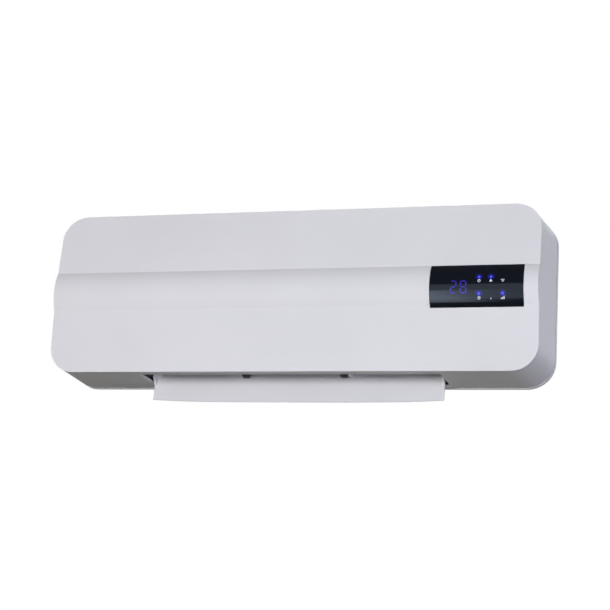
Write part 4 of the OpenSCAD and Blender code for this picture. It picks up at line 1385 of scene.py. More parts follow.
@dataclass
class Display:
    """Dark window with its lit digits, lamps and small marks."""

    casing: Casing
    thickness: float = 2.2
    foot_lean: float = 2.0
    digit_x: float = 185.3
    digit_z: float = 86.25
    digit_h: float = 13.5
    pitch: float = 10.2
    stroke: float = 1.2
    stroke_gap: float = 0.4
    lamp_x: Triple = (206.8, 219.0, 231.2)
    lamp_rows: Pair = (96.65, 79.35)
    lamp_r: float = 1.3
    lit: tuple[tuple[int, int], ...] = ((0, 0), (1, 0), (0, 1), (2, 1))
    mark_drop: float = 4.2
    mark_r: float = 1.5
    print_depth: float = 100.0

    def build(self) -> None:
        """Builds the window and what shows through it."""
        window = self._window()
        self._digits(window)
        self._lamps(window)
        self._marks(window)

    def _window(self) -> Piece:
        """Models the curved window flush with the band.

        Returns:
            The window.
        """
        casing = self.casing
        low, high = casing.window_x
        room = casing.seam
        made = casing.round_band("window_glass", low, high, 0.0)
        made.trim(place(0, 0, casing.band_z + room), (0, 0, -1))
        made.trim(place(0, 0, casing.band_top - room), (0, 0, 1))
        made.trim(place(0, casing.band_axis + 1, 0), (0, 1, 0))
        made.cut(casing.round_band("window_core", low - 5, high + 5, self.thickness))
        foot = span(0, -self.foot_lean, -casing.window_foot)
        made.extrude(lambda m, normal: normal.z < -0.9, foot)
        made.bevel_edges(sharper(45), width=0.35, segments=3)
        return made.finish(SMOKED, Body.CASING, "display_window")

    def _digits(self, window: Piece) -> None:
        """Lights the number of degrees on two seven-segment digits.

        Args:
            window: The window that carries them.
        """
        w, h, t = self.digit_h / 2, self.digit_h, self.stroke
        bar = w - 2 * t - self.stroke_gap
        post = h / 2 - 1.5 * t
        segments = {
            "a": (0, (h - t) / 2, bar, t), "g": (0, 0, bar, t), "d": (0, (t - h) / 2, bar, t),
            "f": ((t - w) / 2, h / 4, t, post), "b": ((w - t) / 2, h / 4, t, post),
            "e": ((t - w) / 2, -h / 4, t, post), "c": ((w - t) / 2, -h / 4, t, post),
        }
        parts = []
        for side, shown in ((-1, "abged"), (1, "abcdefg")):
            for letter in shown:
                x, z, width, height = segments[letter]
                middle = self.digit_x + side * self.pitch / 2 + x
                parts.append(self._patch(middle, self.digit_z + z, width, height))
        self._print("lit_digits", window, parts, VIOLET)

    def _print(self, name: str, window: Piece, parts: Sequence[Piece], finish: Finish) -> None:
        """Lays flat marks on the window's curve.

        Args:
            name: The piece's name.
            window: The window that carries the marks.
            parts: The flat marks.
            finish: Their finish.
        """
        made = parts[0].join(*parts[1:])
        made.obj.name = name
        made.lay_on(window, Axis.Y).finish(finish, Body.CASING)

    def _patch(self, x: float, z: float, width: float, height: float) -> Piece:
        """Models a flat rectangle in front of the window."""
        return Piece.patch(place(x, self.print_depth, z), width, height)

    def _disc(self, x: float, z: float, radius: float, hole: float = 0.0) -> Piece:
        """Models a flat disc or ring in front of the window."""
        return Piece.disc(place(x, self.print_depth, z), radius, hole)

    def _lamps(self, window: Piece) -> None:
        """Lights the lamps of the functions that are on."""
        cores = [self._disc(self.lamp_x[c], self.lamp_rows[r], self.lamp_r) for c, r in self.lit]
        self._print("lit_lamps", window, cores, BLUE)

    def _marks(self, window: Piece) -> None:
        """Prints a plain pictogram beside each lamp, glowing with painted light.

        Args:
            window: The window that carries them.
        """
        top, foot = (row - self.mark_drop for row in self.lamp_rows)
        left, middle, right = self.lamp_x
        parts = self._power(left, top) + self._fan(middle, top) + self._air(right, top)
        parts += self._clock(left, foot)
        parts += self._steps(middle, foot, 1) + self._steps(right, foot, 3)
        self._print("panel_marks", window, parts, MARK_PAINTED_GLOW)

    def _power(self, x: float, z: float) -> list[Piece]:
        """Draws a ring with a stroke through its top."""
        return [self._disc(x, z, self.mark_r, 1.1), self._patch(x, z + 0.9, 0.45, 1.6)]

    def _fan(self, x: float, z: float) -> list[Piece]:
        """Draws three blades.

        Args:
            x: Place of its middle along the heater.
            z: Height of its middle.

        Returns:
            Its flat parts.
        """
        centre = place(x, self.print_depth, z)
        return [self._patch(x, z + 0.85, 0.9, 1.5).turn(angle, Axis.Y, centre)
                for angle in (0, 120, 240)]

    def _air(self, x: float, z: float) -> list[Piece]:
        """Draws three bars that narrow downwards."""
        widths = enumerate((3.6, 2.6, 1.6))
        return [self._patch(x, z + 1.1 - step * 1.1, width, 0.45) for step, width in widths]

    def _clock(self, x: float, z: float) -> list[Piece]:
        """Draws a ring with two hands."""
        return [self._disc(x, z, self.mark_r, 1.15), self._patch(x, z + 0.4, 0.4, 0.9),
                self._patch(x + 0.35, z, 0.8, 0.4)]

    def _steps(self, x: float, z: float, count: int) -> list[Piece]:
        """Draws bars that rise from left to right.

        Args:
            x: Place of its middle along the heater.
            z: Height of its middle.
            count: Number of bars.

        Returns:
            Its flat parts.
        """
        heights = enumerate(1.2 + step * 0.8 for step in range(count))
        left = x - (count - 1) * 0.7
        return [self._patch(left + step * 1.4, z - 1.4 + high / 2, 0.8, high)
                for step, high in heights]


@dataclass
class Intake:
    """Slotted grille in the top and the filter mesh under it."""

    casing: Casing
    edge: float = 4.0
    pitch: float = 8.0
    slot: float = 3.6
    slot_length: float = 22.0
    slot_start: float = 6.2
    slots: int = 40
    mesh_gap: float = 3.5
    skirt: float = 6.0
    skirt_t: float = 1.5

    def build(self) -> None:
        """Builds the grille and the mesh."""
        self._grille()
        self._mesh()

    def _grille(self) -> None:
        """Models the slotted plate with its skirt, level, and leans it onto the top."""
        casing = self.casing
        half = casing.grille_half
        back, front = casing.grille_depths
        top = casing.height
        made = Piece.box("intake_louvre", place(-half, back, top - casing.wall),
                         place(half, front, top))
        made.bevel_edges(lambda m, run, angle: m.z > place(0, 0, top - 0.1).z,
                         width=0.4, segments=2)
        left = -half + self.slot_start
        slot = Piece.box("slot", place(left, back + self.edge, top - 6),
                         place(left + self.slot, back + self.edge + self.slot_length, top + 4))
        slot.bevel_edges(along(Axis.Z, 5), width=1.6, segments=4)
        slot.repeat(self.slots, span(self.pitch, 0, 0))
        slot.repeat(2, span(0, self.slot_length + self.edge, 0))
        made.cut(slot)
        skirt = Piece.box("skirt", place(-half, back, top - casing.wall - self.skirt),
                          place(half, front, top - casing.wall + 0.2))
        inner = self.skirt_t
        skirt.cut(Piece.box("skirt_core", place(-half + inner, back + inner, top - 20),
                            place(half - inner, front - inner, top + 5)))
        made.add(skirt)
        casing.on_top(made).finish(WHITE, Body.CASING, "intake_grille")

    def _mesh(self) -> None:
        """Models the woven mesh in the filter's frame."""
        casing = self.casing
        back, front = casing.grille_depths
        level = casing.height - casing.wall - 1.35
        half, gap = casing.grille_half - self.mesh_gap, self.mesh_gap
        low = place(-half, back + gap, level - 0.1)
        high = place(half, front - gap, level + 0.1)
        made = Piece.box("filter_mesh", low, high)
        made.bevel_edges(lambda m, run, angle: abs(run.z) > abs(run.x) + abs(run.y),
                         width=2.5, segments=6)
        casing.on_top(made).finish(WOVEN, Body.CASING)


@dataclass
class Flap:
    """Swing flap, modelled closed and then swung open about its axis."""

    half: float = 163.0
    thickness: float = 2.5
    pivot: Pair = (41.0, 10.5)
    front: float = 31.5
    rear: float = 25.5
    crown: float = 2.5
    opened: float = 83.0
    web: float = 2.5
    heel: float = 12.0
    crest_half: float = 3.5
    webs: tuple[Pair, ...] = ((160.5, 14.0), (59.6, 3.6))
    pin: Pair = (50.5, 60.0)
    pin_r: float = 2.0
    sleeve_length: float = 10.0
    sleeve_r: float = 4.5
    end_pin_r: float = 2.5

    def build(self) -> None:
        """Builds the flap with its webs and pins."""
        depth, z = self.pivot
        made = self._plate()
        for side in (-1, 1):
            for x, reach in self.webs:
                made.add(self._web(side * x if side > 0 else -x - self.web, reach))
            inner, outer = (side * x for x in self.pin)
            made.add(self._round("middle_pin", inner, outer, self.pin_r, 32))
        left, end = -self.half, -self.half + self.sleeve_length
        made.add(self._round("sleeve", left, end, self.sleeve_r))
        made.cut(self._round("sleeve_bore", left - 2, end, self.end_pin_r))
        made.add(self._round("end_pin", self.half - 1, 170, self.end_pin_r))
        made.turn(self.opened, Axis.X, place(0, depth, z))
        made.finish(WHITE, Body.FLAP, "flap")

    def _round(self, name: str, left: float, right: float, radius: float,
               sides: int = 48) -> Piece:
        """Models a round bar on the flap's axis."""
        start, end = (place(x, *self.pivot) for x in (left, right))
        return Piece.bar(name, start, end, radius, sides)

    def _plate(self) -> Piece:
        """Models the plate with its crowned front edge and rounded rims.

        Returns:
            The plate.
        """
        depth, _ = self.pivot
        tip = depth + self.front
        made = Piece.box("flap_vane", place(-self.half, depth - self.rear, 0),
                         place(self.half, tip, self.thickness))
        steps = 24
        with made.edit("EDGE", along(Axis.X, 100)):
            bpy.ops.mesh.subdivide(number_cuts=steps - 1)
        ahead = place(0, depth, 0).y
        for step in range(steps + 1):
            share = step * 2 / steps - 1
            made.shift(lambda v: abs(v.x * MM - share * self.half) < 0.5 and v.y < ahead,
                       span(0, -self.crown * share ** 4, 0))
        made.bevel_edges(along(Axis.X, 5, sharp=60), width=1.15, segments=4)
        return made.bevel_edges(along(Axis.Y, 10, sharp=60), width=0.5, segments=2)

    def _web(self, x: float, reach: float) -> Piece:
        """Models one web that carries a pin.

        Args:
            x: Where its left face lies.
            reach: How far its foot runs forwards from the pin.

        Returns:
            The web.
        """
        depth, z = self.pivot
        plate = self.thickness - 0.5
        heel, crest = self.heel, z + 2.5
        made = Piece.box("web", place(x, depth - heel, plate),
                         place(x + self.web, depth + reach, crest))
        rise = crest - plate
        made.trim(place(0, depth + reach, plate), (0, -rise, reach - self.crest_half))
        made.trim(place(0, depth - heel, plate), (0, rise, heel - self.crest_half))
        return made.add(self._round("web_eye", x, x + self.web, self.sleeve_r, 32))


@dataclass
class WallBracket:
    """Steel strip with two hooks, bent from sheet."""

    half: float = 160.0
    low: float = 131.0
    high: float = 161.0
    steel: float = 1.5
    hook_xs: Pair = (-100.0, 100.0)
    hook_half: float = 12.0
    hook_out: float = 5.8
    hook_rise: float = 7.0
    hole_x: float = 140.0
    hole_r: float = 2.75

    def build(self) -> None:
        """Builds the bracket with rounded corners, bends and screw holes."""
        made = Piece.box("hanging_strip", place(-self.half, 0, self.low),
                         place(self.half, self.steel, self.high))
        made.bevel_edges(lambda m, run, angle: abs(run.y) > 0.001 and abs(m.x) > 0.15,
                         width=4.0, segments=6)
        for x in self.hook_xs:
            made.add(self._hook(x))
        for x in (-self.hole_x, self.hole_x):
            made.cut(Piece.bar("screw_hole", place(x, -2, HANG_HEIGHT), place(x, 4, HANG_HEIGHT),
                               self.hole_r))
        made.finish(ZINC, Body.CASING, "wall_bracket")

    def _hook(self, x: float) -> Piece:
        """Models one hook by extruding its strip twice and rounding the bends.

        Args:
            x: Middle of the hook.

        Returns:
            The hook.
        """
        left, right = x - self.hook_half, x + self.hook_half
        tip = self.hook_out + self.steel
        made = Piece.box("hook", place(left, 0, self.high - self.steel),
                         place(right, self.hook_out, self.high))
        made.extrude(lambda m, normal: normal.y < -0.9, span(0, self.steel, 0))
        outer = place(0, self.hook_out + self.steel / 2, 0).y
        made.extrude(lambda m, normal: normal.z > 0.9 and abs(m.y - outer) < NEAR,
                     span(0, 0, self.hook_rise))
        corner = place(0, tip, self.high - self.steel)
        made.bevel_edges(lambda m, run, angle: abs(run.x) > 0.01 and abs(m.y - corner.y) < NEAR
                         and abs(m.z - corner.z) < NEAR, width=1.8, segments=5)
        lip = place(0, tip, self.high + self.hook_rise).z
        return made.bevel_edges(lambda m, run, angle: abs(run.y) > 0.001 and abs(m.z - lip) < NEAR,
                                width=2.5, segments=5)


@dataclass
class LeftSide:
    """Rocker switch and cable gland on the left wall."""

    casing: Casing
    bezel: Pair = (23.0, 17.0)
    case: Pair = (19.4, 13.4)
    well: Pair = (17.4, 10.4)
    well_deep: float = 9.0
    case_deep: float = 16.0
    blade_gap: float = 5.0
    symbol_gap: float = 4.8
    print_x: float = -290.0
    gland_r: float = 4.0
    notch_ring: float = 8.3
    notches: int = 16

    def build(self) -> None:
        """Builds the switch, its paddle and the gland."""
        self._switch()
        self._paddle()
        self._gland()

    def _block(self, name: str, inner: float, outer: float, size: Pair) -> Piece:
        """Models a block centred on the switch.

        Args:
            name: The piece's name.
            inner: Where it starts, in millimetres out of the wall.
            outer: Where it ends.
            size: Its length and height.

        Returns:
            The block.
        """
        length, height = size[0] / 2, size[1] / 2
        low, high = Vector((inner, -length, -height)), Vector((outer, length, height))
        return self.casing.on_left(name, low, high, *self.casing.switch)

    def _switch(self) -> None:
        """Models the switch's housing with a rounded bezel and a well."""
        made = self._block("switch_bezel", 0.0, 1.5, self.bezel)
        made.bevel_edges(lambda m, run, angle: abs(run.x) > 0.001 and abs(run.z) < 0.0001,
                         width=2.2, segments=6)
        outer = self.casing.draw_in(self.casing.switch[0]) - self.casing.width / 2
        face = (outer - 1.2) / MM
        made.bevel_edges(lambda m, run, angle: angle > 50 and m.x < face, width=0.5, segments=3)
        made.add(self._block("switch_case", -self.case_deep, 0.5, self.case))
        made.cut(self._block("switch_well", -self.well_deep, 3.0, self.well))
        for offset in (-self.blade_gap, self.blade_gap):
            low = Vector((-self.case_deep - 7, offset - 0.4, -2.4))
            high = Vector((1 - self.case_deep, offset + 0.4, 2.4))
            made.add(self.casing.on_left("switch_blade", low, high, *self.casing.switch))
        made.finish(DARK, Body.CASING, "switch_housing")

    def _paddle(self) -> None:
        """Eases the paddle's edges and prints a bar and a ring on it, which glow with painted light.
        """
        paddle = Piece.copy_of("rocker", "switch_paddle").ease(0.35, segments=3, angle=30)
        paddle.finish(SATIN, Body.ROCKER, "rocker")
        depth, z = self.casing.switch
        on = Piece.patch(place(self.print_x, depth + self.symbol_gap, z), 0.7, 3.6)
        off = Piece.disc(place(self.print_x, depth - self.symbol_gap, z), 1.7, 1.15)
        marks = on.join(off).turn(-90, Axis.Z, place(self.print_x, depth, z))
        marks.obj.name = "paddle_marks"
        marks.lay_on(paddle, Axis.X).finish(MARK_PAINTED_GLOW, Body.ROCKER)

    def _gland(self) -> None:
        """Models the gland with a gripped collar outside and a hexagonal nut inside."""
        made = self._round("gland_collar", 0.0, 3.0, 8.0)
        depth, _ = self.casing.gland
        face = (self.casing.draw_in(depth) - self.casing.width / 2 - 2.4) / MM
        made.bevel_edges(lambda m, run, angle: angle > 50 and m.x < face, width=1.0, segments=4)
        for step in range(self.notches):
            angle = math.tau * step / self.notches
            off = (self.notch_ring * math.cos(angle), self.notch_ring * math.sin(angle))
            made.cut(self._round("notch", -2.0, 6.0, 0.8, 12, off))
        made.add(self._round("gland_body", -9.5, 0.5, 6.0),
                 self._round("gland_nut", -6.7, -2.7, 8.5, 6))
        made.cut(self._round("gland_bore", -12.0, 6.0, self.gland_r))
        made.finish(DARK, Body.CASING, "cable_gland", smooth=28)

    def _round(self, name: str, inner: float, outer: float, radius: float, sides: int = 64,
               off: Pair = (0.0, 0.0)) -> Piece:
        """Models a round bar that runs through the left wall along the gland.

        Args:
            name: The piece's name.
            inner: Where it starts, inwards being negative.
            outer: Where it ends.
            radius: Its radius.
            sides: Number of sides.
            off: How far it lies forwards of the gland's axis and above it.

        Returns:
            The bar.
        """
        depth, height = self.casing.gland
        x = self.casing.draw_in(depth) - self.casing.width / 2
        start, end = (place(x - out, depth + off[0], height + off[1]) for out in (inner, outer))
        made = Piece.bar(name, start, end, radius, sides)
        return made.turn(self.casing.draft, Axis.Z, place(x, depth, height))


def rework(node: str, finish: Finish, width: float = 0.3, body: Body = Body.CASING) -> Piece:
    """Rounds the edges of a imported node's copy, which then stands for the node."""
    made = Piece.copy_of(node, node + "_eased").ease(width, segments=2, angle=50)
    return made.finish(finish, body, node)


@dataclass(frozen=True)
class Screws:
    """Cross-headed screws of one size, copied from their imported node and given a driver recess."""

    node: str
    heads: tuple[Triple, ...]
    radius: float
    axis: Axis = Axis.Y
    recess: float = 0.9
    cross: Pair = (0.62, 0.13)

    def build(self) -> None:
        """Rounds the heads and cuts a cross into each."""
        made = Piece.copy_of(self.node, self.node + "_driven").ease(0.25, segments=2, angle=50)
        for turn in (0, 1):
            slots = [self._slot(head, turn) for head in self.heads]
            made.cut(slots[0].join(*slots[1:]))
        made.finish(ZINC, Body.CASING, self.node)

    def _slot(self, head: Triple, turn: int) -> Piece:
        """Models one of the two slots of a cross recess.

        Args:
            head: Middle of the head's outer face.
            turn: Nought or one, for the slot's direction.

        Returns:
            The cutter.
        """
        across = [share * self.radius for share in self.cross]
        half = across[::-1] if turn else across
        half.insert(self.axis.value, self.recess)
        x, depth, z = head
        return Piece.box("driver_slot", place(x - half[0], depth - half[1], z - half[2]),
                         place(x + half[0], depth + half[1], z + half[2]))


@dataclass
class AirPath:
    """Ducts with the fan's scroll, the finger guard, the filter's frame and the flap's hooks."""

    pivot: Pair = (41.0, 10.5)
    hook: Pair = (51.4, 58.8)
    widened: tuple[Triple, Triple] = ((45, 53, -0.6), (55, 60, 2.8))
    eye_r: float = 6.9
    eye_bore: float = 2.1

    def build(self) -> None:
        """Rounds the mouldings and gives each its finish."""
        # The ducts get the near-black finish, which is painted shade for the inside of the outlet.
        for node in ("duct_rear", "duct_front", "duct_end_left", "duct_end_right"):
            rework(node, DUCT_PAINTED_SHADE, 0.25)
        rework("outlet_grille", DARK, 0.3)
        self._hooks()
        rework("dust_filter", GREY, 0.2)

    def _hooks(self) -> None:
        """Widens the flap's two middle hooks and gives them fuller, rounder eyes."""
        made = Piece.copy_of("flap_hooks", "hook_eyes")
        for side in (-1, 1):
            for low, high, wider in self.widened:
                made.shift(lambda v: low < side * v.x * MM < high, span(wider * side, 0, 0))
        made.add(self._eye(-1), self._eye(1)).finish(DARK, Body.CASING, "flap_hooks")

    def _eye(self, side: int) -> Piece:
        """Models the ring round a middle pin.

        Args:
            side: Minus one for the left hook and one for the right.

        Returns:
            The ring.
        """
        depth, z = self.pivot
        inner, outer = (side * x for x in self.hook)
        made = Piece.bar("eye", place(inner, depth, z), place(outer, depth, z), self.eye_r, 48)
        made.bevel_edges(sharper(60), width=1.4, segments=4)
        return made.cut(Piece.bar("eye_bore", place(inner - side, depth, z),
                                  place(outer + side, depth, z), self.eye_bore, 32))


@dataclass
class HeatingBlock:
    """Ceramic bars between folded fins, in their holders, with both thermal guards."""

    tab_x: float = 174.2
    tab_z: float = 71.15
    tab_depths: Pair = (32.0, 54.0)
    latch_r: float = 0.85
    cutout: Pair = (158.0, 48.0)
    cutout_heights: Triple = (88.8, 88.9, 92.0)
    cap_r: float = 5.0

    def build(self) -> None:
        """Builds the block's pieces."""
        rework("block_frame", CREAM, 0.5)
        rework("ceramic_bars", CERAMIC, 0.4)
        dress(ALUMINIUM, "heating_fins")
        dress(CERAMIC, "thermal_fuse")
        self._tabs()
        self._cutout()

    def _tabs(self) -> None:
        """Models the flat terminals with a latch hole in each."""
        made = Piece.copy_of("block_terminals", "flat_terminals")
        back, front = self.tab_depths
        made.cut(Piece.bar("latch_hole", place(self.tab_x, back, self.tab_z),
                           place(self.tab_x, front, self.tab_z), self.latch_r, 24))
        made.ease(0.12, segments=1, angle=60).finish(BRASS, Body.CASING, "block_terminals")

    def _cutout(self) -> None:
        """Models the cut-out's dark base and its pressed metal cap."""
        x, depth = self.cutout
        seat, rim, crown = self.cutout_heights
        base = Piece.copy_of("thermal_cutout", "cutout_base").trim(place(0, 0, rim), (0, 0, 1))
        base.ease(0.2, segments=2, angle=50).finish(CHIP, Body.CASING, "thermal_cutout")
        cap = Piece.bar("cutout_cap", place(x, depth, seat), place(x, depth, crown), self.cap_r, 64)
        with cap.edit("FACE", lambda m, normal: normal.z > 0.9):
            bpy.ops.mesh.inset(thickness=0.0013, depth=-0.0003)
        cap.ease(0.35, segments=3, angle=40).finish(ALUMINIUM, Body.CASING, "thermal_cutout")


@dataclass
class FanDrive:
    """Cross-flow wheel with its bearing and its shaded-pole motor."""

    limb: Pair = (88.0, 98.0)
    stack: Pair = (181.5, 199.5)
    coil_depths: Pair = (34.0, 62.0)
    coil_t: float = 6.0
    flange: float = 1.5
    tube_t: float = 0.9
    wire_gap: float = 1.2

    def build(self) -> None:
        """Builds the motor's pieces and dresses the wheel."""
        dress(WHEEL, "fan_wheel")
        dress(STEEL, "fan_stub_shaft", "motor_shaft")
        dress(STACK, "motor_rotor", "motor_stator")
        dress(BRONZE, "fan_bearing", "motor_bushes")
        rework("bearing_rubber", RUBBER, 0.6)
        for node in ("motor_bracket_inner", "motor_bracket_outer"):
            rework(node, ZINC, 0.35)
        self._bobbin()
        self._winding()

    def _sleeve(self, name: str, back: float, front: float, over: float) -> Piece:
        """Models a block round the stator's limb.

        Args:
            name: The piece's name.
            back: Depth where it starts.
            front: Depth where it ends.
            over: How far it stands out from the limb.

        Returns:
            The block, with the limb's passage still closed.
        """
        low, high = self.limb
        left, right = self.stack
        return Piece.box(name, place(left - over, back, low - over),
                         place(right + over, front, high + over))

    def _bobbin(self) -> None:
        """Models the bobbin's two flanges and the tube between them."""
        back, front = self.coil_depths
        made = self._sleeve("bobbin_tube", back + 0.2, front - 0.2, self.tube_t)
        for start in (back, front - self.flange):
            plate = self._sleeve("bobbin_flange", start, start + self.flange, self.coil_t)
            made.add(plate.bevel_edges(along(Axis.Y, 1), width=1.2, segments=4))
        made.cut(self._sleeve("limb_passage", back - 5, front + 5, 0.0))
        made.ease(0.15, segments=1, angle=60).finish(BLOCK_WHITE, Body.CASING, "motor_coil")

    def _winding(self) -> None:
        """Models the wound wire, swollen a little between the flanges."""
        back, front = self.coil_depths
        made = self._sleeve("wound_wire", back + self.flange, front - self.flange,
                            self.coil_t - self.wire_gap)
        made.bevel_edges(along(Axis.Y, 1), width=3.2, segments=8)
        made.cut(self._sleeve("tube_room", back - 5, front + 5, self.tube_t))
        made.finish(WINDING, Body.CASING, "motor_coil")


@dataclass
class Electrics:
    """Boards with what is soldered to them, the supply's terminals and the loom."""

    face: float = 16.1
    capacitors: tuple[tuple[float | str, ...], ...] = (
        (231.5, 44.0, 5.0, 14.0, "transformer"), (230.0, 56.5, 2.6, 7.0), (230.0, 63.5, 2.0, 6.0))
    resistor_xs: tuple[float, ...] = (190.0, 200.0, 210.0, 220.0, 230.0)
    resistor_z: float = 17.2
    clamp_xs: tuple[float, ...] = (-227.5, -216.5, -205.5)
    clamp_zs: tuple[float, ...] = (23.0, 31.0)
    leg_pitch: float = 1.6

    def build(self) -> None:
        """Builds the boards' parts and dresses the rest."""
        dress(CIRCUIT, "control_board", "display_board")
        dress(MILKY, "digit_display")
        dress(LENS, "indicator_lamps")
        dress(CHIP, "ir_receiver")
        dress(RIBBON, "display_ribbon")
        self._relays()
        self._transformer()
        for number, measures in enumerate(self.capacitors, 1):
            self._capacitor(f"capacitor_{number}", *measures)
        self._chip("control_chip", (216.0, 37.0), (12.0, 7.0), self.face, 1)
        self._chip("driver_chip", (178.0, 102.0), (16.0, 7.0), 81.9, -1)
        self._resistors()
        self._terminals()
        self._loom()

    def _relays(self) -> None:
        """Models the relays' cases with a shallow sunk top."""
        made = Piece.copy_of("relays", "relay_cases")
        with made.edit("FACE", lambda m, normal: normal.y < -0.9):
            bpy.ops.mesh.inset(thickness=0.0009, depth=0.0)
            bpy.ops.transform.translate(value=span(0, -0.35, 0))
        made.ease(0.4, segments=3, angle=50).finish(RELAY, Body.CASING, "relays")

    def _transformer(self) -> None:
        """Models the transformer's core, its taped winding and the bobbin's flanges."""
        core = Piece.box("transformer_core", place(182.5, self.face, 27), place(206.5, 35.1, 39))
        core.ease(0.5, segments=2).finish(FERRITE, Body.CASING, "transformer")
        taped = Piece.box("transformer_winding", place(185.9, 19.5, 24), place(203.1, 31.7, 42))
        taped.bevel_edges(along(Axis.Z, 1), width=2.4, segments=6)
        taped.finish(TAPE, Body.CASING, "transformer")
        flange = Piece.box("transformer_bobbin", place(185.5, 19.1, 23), place(203.5, 32.1, 24.2))
        flange.bevel_edges(along(Axis.Z, 0.5), width=1.0, segments=4)
        flange.join(flange.twin(span(0, 0, 18.8))).finish(DARK, Body.CASING, "transformer")

    def _capacitor(self, name: str, x: float, z: float, radius: float, length: float,
                   *nodes: str) -> None:
        """Models a capacitor: a sleeve with a rolled groove, and a scored top.

        Args:
            name: The piece's name.
            x: Middle along the heater.
            z: Middle height.
            radius: Radius of its can.
            length: How far it stands off the board.
            *nodes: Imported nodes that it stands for.
        """

        def bar(part: str, back: float, front: float, share: float, wider: float = 0.0) -> Piece:
            """Models a round bar on its axis, with a share of its radius and so much more."""
            return Piece.bar(part, place(x, back, z), place(x, front, z), radius * share + wider)

        face, end = self.face, self.face + length
        sleeve = bar(name, face, end, 1.0)
        groove = bar("groove", face + 1.2, face + 2.0, 1.0, 1.0)
        groove.cut(bar("groove_core", face, face + 4, 0.92))
        sleeve.cut(groove, bar("rim", end - 0.4, end + 1, 0.84))
        sleeve.ease(0.035 * radius, segments=2, angle=50)
        top = bar(name + "_top", end - 0.9, end - 0.2, 0.83)
        long, narrow = radius * 0.6, 0.15
        for wide, high in ((long, narrow), (narrow, long)):
            top.cut(Piece.box("score", place(x - wide, end - 0.4, z - high),
                              place(x + wide, end, z + high)))
        sleeve.finish(SLEEVE, Body.CASING, *nodes)
        top.finish(ALUMINIUM, Body.CASING)

    def _chip(self, name: str, middle: Pair, size: Pair, face: float, out: int) -> None:
        """Models a chip with two rows of bent legs.

        Args:
            name: The piece's name.
            middle: Its middle along the heater and its height.
            size: Its width and height.
            face: Depth of the board's face.
            out: One where it faces forwards, minus one where it faces the wall.
        """
        x, z = middle
        wide, high = size[0] / 2, size[1] / 2
        body = Piece.box(name, place(x - wide, face + 0.4 * out, z - high),
                         place(x + wide, face + 2.2 * out, z + high)).ease(0.2, segments=1)
        corner = (x - wide + 1.5, z - high + 1.5)
        start, end = (place(corner[0], face + far * out, corner[1]) for far in (2.0, 3.0))
        body.cut(Piece.bar("first_leg_mark", start, end, 0.5, 16)).finish(CHIP, Body.CASING)
        count = int(size[0] / self.leg_pitch)
        first = x - (count - 1) * self.leg_pitch / 2
        rows = []
        for side in (-1, 1):
            leg = Piece.box("leg", place(first - 0.25, face, z + side * (high + 1.5)),
                            place(first + 0.25, face + 1.4 * out, z + side * (high - 0.1)))
            leg.trim(place(0, face + 0.3 * out, z + side * (high + 1.3)), (0, -1.2 * out, side))
            rows.append(leg.repeat(count, span(self.leg_pitch, 0, 0)))
        legs = rows[0].join(rows[1])
        legs.obj.name = name + "_legs"
        legs.finish(TIN, Body.CASING)

    def _resistors(self) -> None:
        """Models a row of resistors, the first turned from bars and the rest copied."""
        depth, z = self.face + 1.5, self.resistor_z
        x = self.resistor_xs[0]

        def bar(name: str, left: float, right: float, radius: float, sides: int = 24) -> Piece:
            """Models a round bar on the first resistor's axis."""
            start, end = (place(x + away, depth, z) for away in (left, right))
            return Piece.bar(name, start, end, radius, sides)

        body = bar("resistors", -3, 3, 1.0)
        body.add(bar("end", -3.1, -1.8, 1.25), bar("end", 1.8, 3.1, 1.25))
        body.ease(0.11, segments=2, angle=40)
        lead = bar("resistor_leads", -4.2, 4.2, 0.3, 12)
        for foot in (x - 4.0, x + 4.0):
            lead.add(Piece.bar("foot", place(foot, self.face - 0.1, z), place(foot, depth + 0.2, z),
                               0.25, 12))
        for made, finish in ((body, RESISTOR), (lead, TIN)):
            made.join(*[made.twin(span(other - x, 0, 0)) for other in self.resistor_xs[1:]])
            made.finish(finish, Body.CASING)

    def _terminals(self) -> None:
        """Models the terminal block and the slotted clamp screws in its funnels."""
        rework("terminal_block", BLOCK_WHITE, 0.3)
        x, z = self.clamp_xs[0], self.clamp_zs[0]
        screw = Piece.bar("clamp_screws", place(x, 13.8, z), place(x, 15.2, z), 2.35, 32)
        screw.ease(0.25, segments=2, angle=50)
        screw.cut(Piece.box("slot", place(x - 3, 14.6, z - 0.3), place(x + 3, 16, z + 0.3)))
        spots = [(a - x, b - z) for a in self.clamp_xs for b in self.clamp_zs]
        others = [screw.twin(span(a, 0, b)) for a, b in spots[1:]]
        screw.join(*others).finish(BRASS, Body.CASING)

    def _loom(self) -> None:
        """Parts the loom into its three wires and gives each its colour."""
        loom = Piece.copy_of("wiring_loom", "wire")
        with loom.edit():
            bpy.ops.mesh.separate(type="LOOSE")
        wires = sorted(bpy.context.selected_objects,
                       key=lambda wire: max(v.co.z for v in wire.data.vertices))
        for number, wire in enumerate(wires):
            finish = (BROWN_WIRE, BLUE_WIRE, EARTH_WIRE)[number % 3]
            Piece(wire, f"wire_{number + 1}").finish(finish, Body.CASING, "wiring_loom", smooth=50)


@dataclass
class SwingDrive:
    """Geared motor that swings the flap."""

    def build(self) -> None:
        """Rounds the can and dresses its shaft."""
        rework("swing_motor", TIN, 0.35)
        dress(BRASS, "swing_motor_shaft")


SCREWS = (
    Screws("case_screws", tuple((x, 1.2, z) for x, z in sorted(CASE_SCREWS)), 3.0),
    Screws("duct_screws", tuple((x, 9.8, z) for x, z in DUCT_SCREWS), 3.0),
    Screws("board_screws", tuple((x, 17.5, z) for x, z in BOARD_SCREWS), 2.4, recess=0.7),
    Screws("display_screws", tuple((x, 80.5, z) for x, z in DISPLAY_SCREWS), 2.4, recess=0.7),
    Screws("motor_screws", ((204.9, 26.0, 130.0), (204.9, 70.0, 130.0)), 3.6, Axis.X, 1.2),
    Screws("swing_motor_screws", ((-173.6, 23.5, 18.5), (-173.6, 58.5, 18.5)), 3.0, Axis.X),
)


